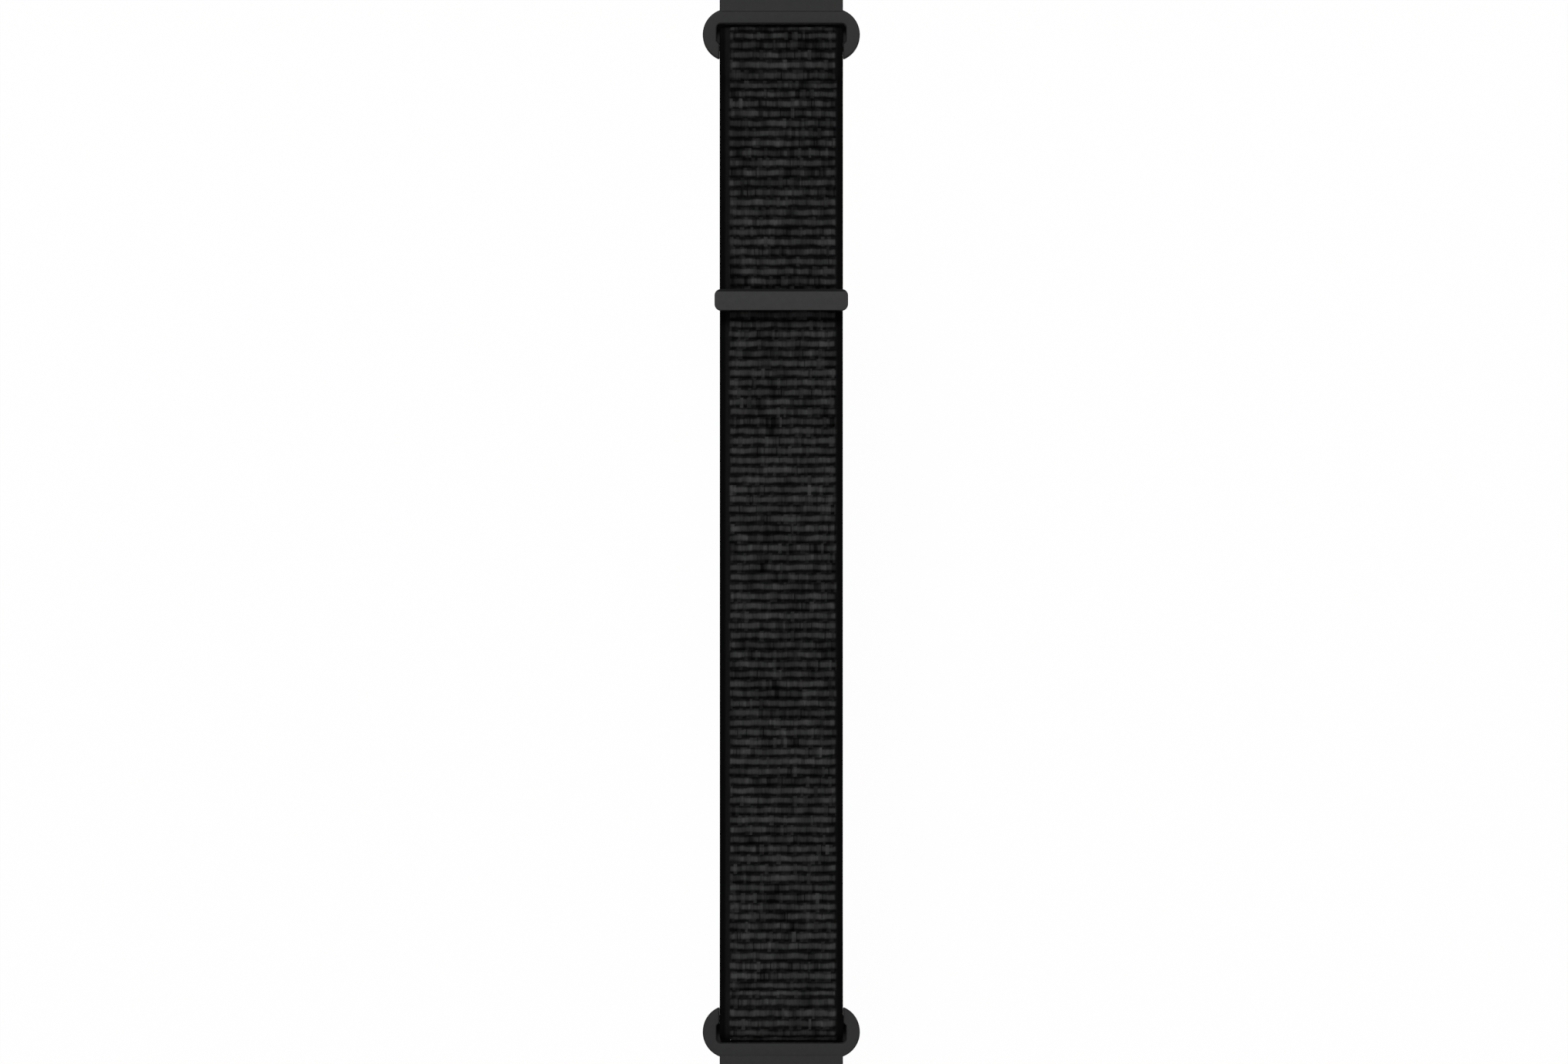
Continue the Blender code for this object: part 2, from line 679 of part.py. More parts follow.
def build_body(shop, letter, finish, hub, frame):
    """The adapter's body: the ring, the lug block, and the pocket, grooves and holes for what it carries."""
    ring = prism("ring", ring_outline(), RING_THICKNESS, ALONG_Z, RING_EDGE)
    moved(ring, (0, 0, BAR_Z))
    body = shop.part(f"adapter_{letter}_body", ring, finish, hub, frame)
    shop.join(body, prism("lug_block", block_outline(), BLOCK_WIDTH, ALONG_X, BLOCK_EDGE))
    shop.cut(
        body,
        rod(
            "bar_hole",
            BAR_RADIUS + BAR_HOLE_CLEARANCE,
            -BAR_BLIND_END - BAR_HOLE_CLEARANCE,
            RING_WIDTH / 2 + OVERRUN,
            -BAR_BACK,
            BAR_Z,
        ),
    )
    half = LATCH_WIDTH / 2 + LATCH_CLEARANCE
    roof = LATCH_BOTTOM + LATCH_THICKNESS + LATCH_CLEARANCE
    pocket = box(
        "latch_pocket",
        (-half, POCKET_BACK, BLOCK_UNDERSIDE - OVERRUN),
        (half, SEAT_CENTRE - SEAT_RADIUS + OVERRUN, roof),
    )
    shop.cut(body, pocket)
    reach = SPRING_COIL_RADIUS + SPRING_WIRE_RADIUS + SPRING_SIDE_CLEARANCE
    for side in (-1, 1):
        middle = side * SPRING_SPREAD
        groove = box(
            "spring_groove",
            (middle - reach, POCKET_BACK, BLOCK_UNDERSIDE - OVERRUN),
            (middle + reach, LATCH_BACK + NOTCH_DEPTH + LATCH_CLEARANCE, SPRING_Z + reach),
        )
        shop.cut(body, groove)
        shop.cut(body, screw_mesh("screw_hole", side, SCREW_CLEARANCE, OVERRUN))
    return body


def build_bar(shop, letter, finish, hub, frame):
    """The steel bar between the ears, in a blind hole on one side and a through hole on the other."""
    name = f"adapter_{letter}_strap_bar"
    mesh = rod(name, BAR_RADIUS, -BAR_BLIND_END, BAR_OPEN_END, -BAR_BACK, BAR_Z)
    shop.soften(shop.part(name, mesh, finish, hub, frame), BAR_CHAMFER)


def latch_outline():
    """The latch seen from the side: its plate, and the thinner nose that closes the seat."""
    top = LATCH_BOTTOM + LATCH_THICKNESS
    nose = LATCH_BOTTOM + NOSE_THICKNESS
    return [
        (LATCH_BACK, LATCH_BOTTOM),
        (LATCH_BACK, top),
        (LATCH_SHOULDER, top),
        (LATCH_SHOULDER, nose),
        (NOSE_TIP - NOSE_CHAMFER, nose),
        (NOSE_TIP, nose - NOSE_CHAMFER),
        (NOSE_TIP, LATCH_BOTTOM),
    ]


def build_latch(shop, letter, finish, hub, frame):
    """The sliding latch, with a notch for each spring and a grooved thumb pad."""
    place = frame @ Vector((0, (LATCH_BACK + NOSE_TIP) / 2, LATCH_BOTTOM))
    slide = shop.joint(f"latch_{letter}_slide", hub.matrix_world @ place, hub)
    own = slide.matrix_world.inverted() @ hub.matrix_world @ frame
    name = f"adapter_{letter}_latch"
    latch = shop.part(name, prism(name, latch_outline(), LATCH_WIDTH, ALONG_X), finish, slide, own)
    reach = SPRING_COIL_RADIUS + SPRING_WIRE_RADIUS + SPRING_SIDE_CLEARANCE
    for side in (-1, 1):
        middle = side * SPRING_SPREAD
        notch = box(
            "spring_notch",
            (middle - reach, LATCH_BACK - OVERRUN, LATCH_BOTTOM - OVERRUN),
            (middle + reach, LATCH_BACK + NOTCH_DEPTH, LATCH_BOTTOM + LATCH_THICKNESS + OVERRUN),
        )
        shop.cut(latch, notch)
    low = COVER_BOTTOM - THUMB_DROP
    half = THUMB_WIDTH / 2
    pad = box(
        "thumb_pad",
        (-half, THUMB_START, low),
        (half, THUMB_START + THUMB_LENGTH, LATCH_BOTTOM + LATCH_THICKNESS / 2),
    )
    shop.join(latch, pad)
    for share in (1 / 3, 2 / 3):
        middle = THUMB_START + share * THUMB_LENGTH
        groove = box(
            "thumb_groove",
            (-half - OVERRUN, middle - THUMB_GROOVE / 2, low - OVERRUN),
            (half + OVERRUN, middle + THUMB_GROOVE / 2, low + THUMB_GROOVE_DEPTH),
        )
        shop.cut(latch, groove)


def spring_points(side):
    """A helix along Y from the pocket's back wall to the end of the latch's notch."""
    start = POCKET_BACK + SPRING_END_GAP
    end = LATCH_BACK + NOTCH_DEPTH - SPRING_END_GAP
    count = SPRING_TURNS * SPRING_POINTS_A_TURN
    points = []
    for step in range(count + 1):
        angle = 2 * math.pi * step / SPRING_POINTS_A_TURN
        x = side * SPRING_SPREAD + SPRING_COIL_RADIUS * math.cos(angle)
        z = SPRING_Z + SPRING_COIL_RADIUS * math.sin(angle)
        points.append((x, start + (end - start) * step / count, z))
    return points


def build_springs(shop, letter, finish, hub, frame):
    """The two coil springs that hold the latch closed."""
    for side, word in ((-1, "left"), (1, "right")):
        name = f"adapter_{letter}_spring_{word}"
        points = spring_points(side)
        shop.part(name, tube(name, points, SPRING_WIRE_RADIUS), finish, hub, frame)
    turn = SPRING_POINTS_A_TURN
    apart = min((Vector(one) - Vector(two)).length for one, two in zip(points, points[turn:]))
    print(f"adapter_{letter} springs: least gap between turns {apart - 2 * SPRING_WIRE_RADIUS:.6f} m")


def build_cover(shop, letter, finish, hub, frame):
    """The cover plate, with its window for the thumb pad, and the two screws that hold it."""
    name = f"adapter_{letter}_cover"
    half = COVER_WIDTH / 2
    mesh = box(name, (-half, COVER_START, COVER_BOTTOM), (half, COVER_END, COVER_TOP))
    cover = shop.part(name, mesh, finish["plate"], hub, frame)
    shop.soften(cover, COVER_EDGE)
    half = THUMB_WIDTH / 2 + WINDOW_CLEARANCE
    window = box(
        "window",
        (-half, THUMB_START - LATCH_TRAVEL - WINDOW_CLEARANCE, COVER_BOTTOM - OVERRUN),
        (half, THUMB_START + THUMB_LENGTH + WINDOW_CLEARANCE, COVER_TOP + OVERRUN),
    )
    shop.cut(cover, window)
    for side, word in ((-1, "left"), (1, "right")):
        shop.cut(cover, screw_mesh("screw_hole", side, SCREW_CLEARANCE, OVERRUN))
        name = f"adapter_{letter}_screw_{word}"
        screw = shop.part(name, screw_mesh(name, side), finish["steel"], hub, frame)
        face = COVER_BOTTOM + SCREW_SINK
        middle = Vector((side * SCREW_SPREAD, SCREW_PLACE, face))
        for long_x in (True, False):
            across = Vector((DRIVE_LENGTH, DRIVE_WIDTH, 0) if long_x else (DRIVE_WIDTH, DRIVE_LENGTH, 0)) / 2
            low = middle - across - Vector((0, 0, OVERRUN))
            high = middle + across + Vector((0, 0, DRIVE_DEPTH))
            shop.cut(screw, box("drive_slot", low, high))


def build_adapter(shop, letter, finish, parent, turn):
    """One adapter, under an empty on the strap bar's axis. It points along +Y before its turn."""
    side = -1 if turn else 1
    place = (0, side * (RING_Y - BAR_BACK), BAR_Z)
    hub = shop.joint(f"adapter_{letter}_pivot", place, parent, turn)
    frame = Matrix.Translation((0, BAR_BACK, -BAR_Z))
    build_body(shop, letter, finish["moulding"], hub, frame)
    build_bar(shop, letter, finish["steel"], hub, frame)
    build_latch(shop, letter, finish["moulding"], hub, frame)
    build_springs(shop, letter, finish["steel"], hub, frame)
    build_cover(shop, letter, finish, hub, frame)


def main():
    """Builds the whole strap."""
    parts, cutters = clear_scene()
    shop = Workshop(parts, cutters)
    finish = {
        "cloth": material("black_nylon_cloth", (0.017, 0.017, 0.018), 0.95),
        "hooks": material("black_hook_tape", (0.012, 0.012, 0.012), 0.7),
        "thread": material("black_thread", (0.010, 0.010, 0.010), 0.8),
        "moulding": material("charcoal_moulding", (0.034, 0.034, 0.035), 0.55),
        "plate": material("dark_coated_plate", (0.06, 0.06, 0.062), 0.4, 0.8),
        "steel": material("stainless_steel", (0.45, 0.45, 0.46), 0.3, 1.0),
    }
    joints = build_strap(shop, finish["cloth"])
    build_stitching(shop, finish["thread"], bpy.data.objects["strap_sewn_end"])
    tail_joints = build_tail(shop, finish["cloth"], joints)
    build_hook_pads(shop, finish["hooks"], tail_joints)
    build_stop(shop, finish["moulding"], tail_joints[-1])
    build_adapter(shop, "a", finish, joints[FLEX_LINES], 0.0)
    build_adapter(shop, "b", finish, joints[0], math.pi)


main()
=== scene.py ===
"""Dresses the hook and loop watch strap: its ribbed webbing, hook pads, stop, seam and two lug adapters.

The strap lies along Y with its outer face up, seen from straight above. Units are metres.
The webbing is one ribbon that follows a route from the sewn flap round adapter B's bar, along the strap,
round adapter A's bar and back along the tail. It is made in pieces that meet in grooves between ribs, and
each piece spans one flex line of the CAD model.
"""

from __future__ import annotations

import logging
import math
from contextlib import contextmanager
from dataclasses import dataclass, replace
from enum import Enum
from itertools import pairwise
from typing import Any, Callable, Iterator, Sequence

import bmesh
import bpy
import numpy as np
from mathutils import Euler, Matrix, Vector


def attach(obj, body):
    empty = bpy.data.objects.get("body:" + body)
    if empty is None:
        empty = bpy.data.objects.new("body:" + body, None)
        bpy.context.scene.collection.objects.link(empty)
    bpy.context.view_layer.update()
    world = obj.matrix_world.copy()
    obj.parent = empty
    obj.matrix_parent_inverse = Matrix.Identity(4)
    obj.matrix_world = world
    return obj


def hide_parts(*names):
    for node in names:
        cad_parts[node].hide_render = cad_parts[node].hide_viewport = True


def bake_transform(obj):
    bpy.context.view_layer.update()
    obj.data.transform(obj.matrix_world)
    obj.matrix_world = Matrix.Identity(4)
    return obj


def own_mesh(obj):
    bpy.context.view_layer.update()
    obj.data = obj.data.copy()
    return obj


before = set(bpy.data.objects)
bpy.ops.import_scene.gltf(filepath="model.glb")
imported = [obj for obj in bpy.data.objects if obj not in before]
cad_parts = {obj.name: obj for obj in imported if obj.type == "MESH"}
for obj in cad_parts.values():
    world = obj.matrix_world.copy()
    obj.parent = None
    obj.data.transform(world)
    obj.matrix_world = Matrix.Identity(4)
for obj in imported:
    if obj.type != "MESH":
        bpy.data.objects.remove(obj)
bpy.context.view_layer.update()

LOG = logging.getLogger("watch_strap")

Place = tuple[float, float]
Range = tuple[float, float]
Point = tuple[float, float, float]
Colour = tuple[float, float, float]
Piece = bpy.types.Object
Socket = bpy.types.NodeSocket

FULL_TURN = 2 * math.pi
HALF_TURN = math.pi
QUARTER_TURN = math.pi / 2
MILLIMETRE = 0.001
WELD = 0.00000005
SLIVER_SIDES = 4
SIDES = (-1, 1)
FACING = 0.99
WHOLE = (0.0, 1.0)
NOISE_MIDDLE = (0.3, 0.7)


class Slot(Enum):
    """The record's material slots."""

    CLOTH = "cloth"
    HOOKS = "hooks"
    THREAD = "thread"
    MOULDING = "moulding"
    PLATE = "plate"
    STEEL = "steel"


class Plane(Enum):
    """The plane that a flat outline lies in before it is given its thickness."""

    FLAT = "xy"
    SIDE = "yz"
    FRONT = "xz"


class Cut(Enum):
    """What a Boolean modifier does with its tool."""

    TAKE_AWAY = "DIFFERENCE"
    ADD = "UNION"


# Modelling with operators


def deselect_all() -> None:
    """Leaves nothing selected."""
    bpy.ops.object.select_all(action="DESELECT")


def activate(piece: Piece) -> None:
    """Selects one object alone and makes it active.

    Args:
        piece: The object.
    """
    deselect_all()
    piece.select_set(True)
    bpy.context.view_layer.objects.active = piece


@contextmanager
def editing(piece: Piece) -> Iterator[None]:
    """Holds a mesh open in edit mode.

    Args:
        piece: The mesh object.

    Returns:
        A context that leaves edit mode at its end.
    """
    activate(piece)
    bpy.ops.object.mode_set(mode="EDIT")
    try:
        yield
    finally:
        bpy.ops.object.mode_set(mode="OBJECT")


def pick_faces(piece: Piece, test: Callable[[Vector], bool]) -> None:
    """Selects faces of the mesh in edit mode.

    Args:
        piece: The mesh object, in edit mode.
        test: Says whether a face with that normal is picked.
    """
    bpy.ops.mesh.select_mode(type="FACE")
    bpy.ops.mesh.select_all(action="DESELECT")
    form = bmesh.from_edit_mesh(piece.data)
    for face in form.faces:
        face.select_set(test(face.normal))
    bmesh.update_edit_mesh(piece.data)


def point_outwards() -> None:
    """Points all faces of the mesh in edit mode outwards."""
    bpy.ops.mesh.select_all(action="SELECT")
    bpy.ops.mesh.normals_make_consistent(inside=False)


def sliced(piece: Piece, place: Point, normal: Point, drop: bool = False) -> Piece:
    """Cuts a mesh along a plane.

    Args:
        piece: The mesh object.
        place: A point of the plane.
        normal: The plane's normal, of any length.
        drop: Whether what lies on the normal's side goes, and the cut is closed.

    Returns:
        The same object.
    """
    with editing(piece):
        bpy.ops.mesh.select_all(action="SELECT")
        face = Vector(normal).normalized()
        bpy.ops.mesh.bisect(plane_co=place, plane_no=face, use_fill=drop, clear_outer=drop, threshold=WELD)
    return piece


def extrude(move: Point, size: Point | None = None) -> None:
    """Extrudes the picked faces, and then scales what was extruded.

    Args:
        move: How far they go.
        size: The scale along each axis, or None to keep it.
    """
    bpy.ops.mesh.extrude_region_move(TRANSFORM_OT_translate={"value": move})
    if size is not None:
        bpy.ops.transform.resize(value=size)


def added(name: str) -> Piece:
    """The object that an operator has just added, under its own name.

    Args:
        name: The new name of the object and its mesh.

    Returns:
        The object.
    """
    made = bpy.context.active_object
    made.name = name
    made.data.name = name
    return made


def settle(piece: Piece) -> Piece:
    """Puts an object's place, turn and scale into its mesh.

    Args:
        piece: The mesh object.

    Returns:
        The same object.
    """
    activate(piece)
    bpy.ops.object.transform_apply(location=True, rotation=True, scale=True)
    return piece


def shaped(piece: Piece, kind: str, **settings: Any) -> Piece:
    """Adds a modifier and applies it.

    Args:
        piece: The mesh object.
        kind: The modifier's type.
        **settings: Its settings.

    Returns:
        The same object.
    """
    activate(piece)
    modifier = piece.modifiers.new(kind.lower(), kind)
    for word, value in settings.items():
        setattr(modifier, word, value)
    bpy.ops.object.modifier_apply(modifier=modifier.name)
    return piece


def rounded(
    piece: Piece, width: float, segments: int = 2, least_angle: float = 60.0, clamp: bool = True
) -> Piece:
    """Rounds the edges of a mesh that are sharper than an angle.

    Args:
        piece: The mesh object.
        width: The width of the rounding.
        segments: How many faces it has across.
        least_angle: The angle in degrees below which an edge is left alone.
        clamp: Whether the width shrinks where edges are short.

    Returns:
        The same object.
    """
    edges = {"limit_method": "ANGLE", "angle_limit": math.radians(least_angle)}
    return shaped(piece, "BEVEL", width=width, segments=segments, use_clamp_overlap=clamp, **edges)


def combined(piece: Piece, tool: Piece, cut: Cut = Cut.TAKE_AWAY) -> Piece:
    """Cuts a tool out of a mesh or joins it on, and removes the tool.

    Args:
        piece: The mesh object.
        tool: The other mesh object.
        cut: What to do with it.

    Returns:
        The same piece.
    """
    shaped(piece, "BOOLEAN", object=tool, operation=cut.value, solver="EXACT")
    bpy.data.objects.remove(tool, do_unlink=True)
    return piece


def shaded(piece: Piece, smooth_angle: float) -> Piece:
    """Shades a mesh smooth, apart from its sharp edges.

    Args:
        piece: The mesh object.
        smooth_angle: The angle in degrees at which an edge stays sharp.

    Returns:
        The same object.
    """
    activate(piece)
    bpy.ops.object.shade_smooth_by_angle(angle=math.radians(smooth_angle))
    return piece


def tidied(piece: Piece, smooth_angle: float = 35.0) -> Piece:
    """Merges doubles, closes slivers, points the faces outwards and shades the mesh.

    Args:
        piece: The mesh object.
        smooth_angle: The angle in degrees at which an edge stays sharp.

    Returns:
        The same object.
    """
    with editing(piece):
        bpy.ops.mesh.select_all(action="SELECT")
        bpy.ops.mesh.remove_doubles(threshold=WELD)
        bpy.ops.mesh.fill_holes(sides=SLIVER_SIDES)
        point_outwards()
    return shaded(piece, smooth_angle)


def slab(name: str, outline: Sequence[Place], low: float, high: float, plane: Plane) -> Piece:
    """A flat outline given a thickness.

    Args:
        name: The object's name.
        outline: The outline's points in order, in the plane's two axes.
        low: Where the thickness starts on the third axis.
        high: Where it ends.
        plane: The plane that the outline lies in.

    Returns:
        A closed mesh object.
    """
    deselect_all()
    bpy.ops.mesh.primitive_circle_add(vertices=len(outline), radius=1.0, fill_type="NGON")
    made = added(name)
    for vertex, (one, two) in zip(made.data.vertices, outline):
        vertex.co = (one, two, low)
    with editing(made):
        bpy.ops.mesh.select_all(action="SELECT")
        extrude((0.0, 0.0, high - low))
    for vertex in made.data.vertices:
        one, two, three = vertex.co
        if plane is Plane.SIDE:
            vertex.co = (three, one, two)
        elif plane is Plane.FRONT:
            vertex.co = (one, three, two)
    with editing(made):
        point_outwards()
    return made


def block(name: str, low: Point, high: Point) -> Piece:
    """A box between two corners, used as a start or as a tool.

    Args:
        name: The object's name.
        low: Its lowest corner.
        high: Its highest corner.

    Returns:
        The box.
    """
    deselect_all()
    middle = (Vector(low) + Vector(high)) / 2
    bpy.ops.mesh.primitive_cube_add(size=1.0, location=middle)
    made = added(name)
    made.scale = Vector(high) - Vector(low)
    return settle(made)


def cut_away(piece: Piece, low: Point, high: Point) -> Piece:
    """Cuts the box between two corners out of a mesh."""
    return combined(piece, block("pocket", low, high))


def rod(name: str, radius: float, low: float, high: float, place: Place, steps: int) -> Piece:
    """A round rod along X.

    Args:
        name: The object's name.
        radius: Its radius.
        low: Where it starts.
        high: Where it ends.
        place: Its Y and Z.
        steps: How many sides it has.

    Returns:
        The rod.
    """
    deselect_all()
    bpy.ops.mesh.primitive_cylinder_add(
        vertices=steps,
        radius=radius,
        depth=high - low,
        location=((low + high) / 2, *place),
        rotation=(0.0, QUARTER_TURN, 0.0),
    )
    return settle(added(name))


def wire(name: str, runs: Sequence[np.ndarray], radius: float, roundness: int) -> Piece:
    """Round wires along points, as one mesh with closed ends.

    Args:
        name: The object's name.
        runs: The points of each wire.
        radius: The wires' radius.
        roundness: The bevel resolution of their section.

    Returns:
        The mesh object.
    """
    line = bpy.data.curves.new(name, "CURVE")
    line.dimensions = "3D"
    line.bevel_depth = radius
    line.bevel_resolution = roundness
    line.use_fill_caps = True
    for run in runs:
        spline = line.splines.new("POLY")
        spline.points.add(len(run) - 1)
        for point, place in zip(spline.points, run):
            point.co = (*place, 1.0)
    made = bpy.data.objects.new(name, line)
    bpy.context.scene.collection.objects.link(made)
    activate(made)
    bpy.ops.object.convert(target="MESH")
    return added(name)


def arc(centre: Place, radius: float, start: float, end: float, steps: int) -> list[Place]:
    """Points along an arc.

    Args:
        centre: Its centre.
        radius: Its radius.
        start: The angle it starts at, in radians.
        end: The angle it ends at.
        steps: How many steps it has.

    Returns:
        The points, both ends among them.
    """
    angles = [start + (end - start) * step / steps for step in range(steps + 1)]
    return [(centre[0] + radius * math.cos(a), centre[1] + radius * math.sin(a)) for a in angles]


def rounded_rectangle(low: Place, high: Place, corners: Range, steps: int) -> list[Place]:
    """The outline of a rectangle with round corners.

    Args:
        low: Its lowest corner.
        high: Its highest corner.
        corners: The radius of the corners at its low end and at its high end.
        steps: How many steps a corner has.

    Returns:
        The outline, anticlockwise.
    """
    below, above = corners
    centres = (
        (high[0] - above, high[1] - above, above),
        (low[0] + above, high[1] - above, above),
        (low[0] + below, low[1] + below, below),
        (high[0] - below, low[1] + below, below),
    )
    points: list[Place] = []
    for quarter, (x, y, radius) in enumerate(centres):
        points += arc((x, y), radius, quarter * QUARTER_TURN, (quarter + 1) * QUARTER_TURN, steps)
    return points


def mirrored(half: list[Place]) -> list[Place]:
    """An outline from its right half, which starts and ends at the middle."""
    return half + [(-x, y) for x, y in reversed(half)]


def eased(share: np.ndarray) -> np.ndarray:
    """Shares held between 0 and 1, with a smooth start and end."""
    share = np.clip(share, 0.0, 1.0)
    return share * share * (3.0 - 2.0 * share)


# Shader nodes


class Nodes:
    """Adds nodes to a tree and links them."""

    STEP = 220.0
    MIX_INPUTS = (0, 6, 7)
    MIX_OUTPUT = 2

    def __init__(self, tree: bpy.types.NodeTree) -> None:
        """Starts on a material's, a world's or a group's tree."""
        self.tree = tree

    def feed(self, socket: Socket, value: Any) -> None:
        """Links an input, or sets it and gives a colour of three its alpha.

        Args:
            socket: The input.
            value: A value, or the output that feeds it.
        """
        if isinstance(value, Socket):
            self.tree.links.new(value, socket)
        elif socket.type == "RGBA":
            socket.default_value = (*value, 1.0)
        else:
            socket.default_value = value

    def fill(self, node: bpy.types.Node, inputs: dict[str, Any]) -> bpy.types.Node:
        """Sets or links inputs of a node.

        Args:
            node: The node.
            inputs: Values or outputs by the inputs' names. Where several share one, the shown one is meant.

        Returns:
            The same node.
        """
        for word, value in inputs.items():
            self.feed(next(s for s in node.inputs if s.name == word and s.enabled), value)
        return node

    def add(self, kind: str, inputs: dict[str, Any] | None = None, **settings: Any) -> bpy.types.Node:
        """Adds a node.

        Args:
            kind: The node's type.
            inputs: Values or outputs for its inputs, by name.
            **settings: Its other settings.

        Returns:
            The node.
        """
        made = self.tree.nodes.new(kind)
        made.location = (self.STEP * len(self.tree.nodes), 0.0)
        for word, value in settings.items():
            setattr(made, word, value)
        return self.fill(made, inputs or {})

    def maths(self, operation: str, one: Any, two: Any = 0.0) -> Socket:
        """The output of a Math node.

        Args:
            operation: What it works out.
            one: Its first value or socket.
            two: Its second value or socket.

        Returns:
            The output.
        """
        made = self.add("ShaderNodeMath", operation=operation)
        self.feed(made.inputs[0], one)
        self.feed(made.inputs[1], two)
        return made.outputs[0]

    def ranged(self, value: Socket, source: Range, result: Range = (0.0, 1.0)) -> Any:
        """The output of a clamped Map Range node.

        Args:
            value: What goes in.
            source: The values that give the two ends of the result.
            result: The two ends.

        Returns:
            The output.
        """
        inputs = {"Value": value, "From Min": source[0], "From Max": source[1]}
        inputs |= {"To Min": result[0], "To Max": result[1]}
        return self.add("ShaderNodeMapRange", inputs).outputs[0]

    def mixed(self, share: Any, one: Any, two: Any, blend: str = "MIX") -> Socket:
        """The output of a Mix Color node.

        Args:
            share: How much of the second colour there is.
            one: The first colour or socket.
            two: The second colour or socket.
            blend: The way they are blended.

        Returns:
            The output.
        """
        made = self.add("ShaderNodeMix", data_type="RGBA", blend_type=blend)
        for place, value in zip(self.MIX_INPUTS, (share, one, two)):
            self.feed(made.inputs[place], value)
        return made.outputs[self.MIX_OUTPUT]

    def scaled(self, place: Socket, scale: Point) -> Socket:
        """A place scaled along each axis."""
        return self.add("ShaderNodeMapping", {"Vector": place, "Scale": scale}).outputs[0]

    def bump(self, shader: bpy.types.Node, height: Socket, depth: Range) -> None:
        """Gives a shader a bump, whose depth is its strength and its distance."""
        inputs = {"Height": height, "Strength": depth[0], "Distance": depth[1]}
        self.fill(shader, {"Normal": self.add("ShaderNodeBump", inputs).outputs[0]})

    def background_rays(self) -> Socket:
        """A mask of the rays that see the background: those to the camera, and through gloss or glass.

        Returns:
            The output, which is 1 for those rays and 0 for all others.
        """
        path = self.add("ShaderNodeLightPath").outputs
        seen = self.maths("MAXIMUM", path["Is Camera Ray"], path["Is Glossy Ray"])
        return self.maths("MAXIMUM", seen, path["Is Transmission Ray"])


def new_group(name: str, inputs: dict[str, float | None], outputs: Sequence[str]) -> tuple[Any, Any, Any]:
    """An empty shader node group with its sockets.

    Args:
        name: The group's name.
        inputs: The default of each number by its name, or None for a place.
        outputs: The names of the numbers that it puts out.

    Returns:
        The group's Nodes, its input node and its output node.
    """
    tree = bpy.data.node_groups.new(name, "ShaderNodeTree")
    for word, value in inputs.items():
        kind = "NodeSocketVector" if value is None else "NodeSocketFloat"
        socket = tree.interface.new_socket(name=word, in_out="INPUT", socket_type=kind)
        if value is not None:
            socket.default_value = value
    for word in outputs:
        tree.interface.new_socket(name=word, in_out="OUTPUT", socket_type="NodeSocketFloat")
    nodes = Nodes(tree)
    return nodes, nodes.add("NodeGroupInput"), nodes.add("NodeGroupOutput")


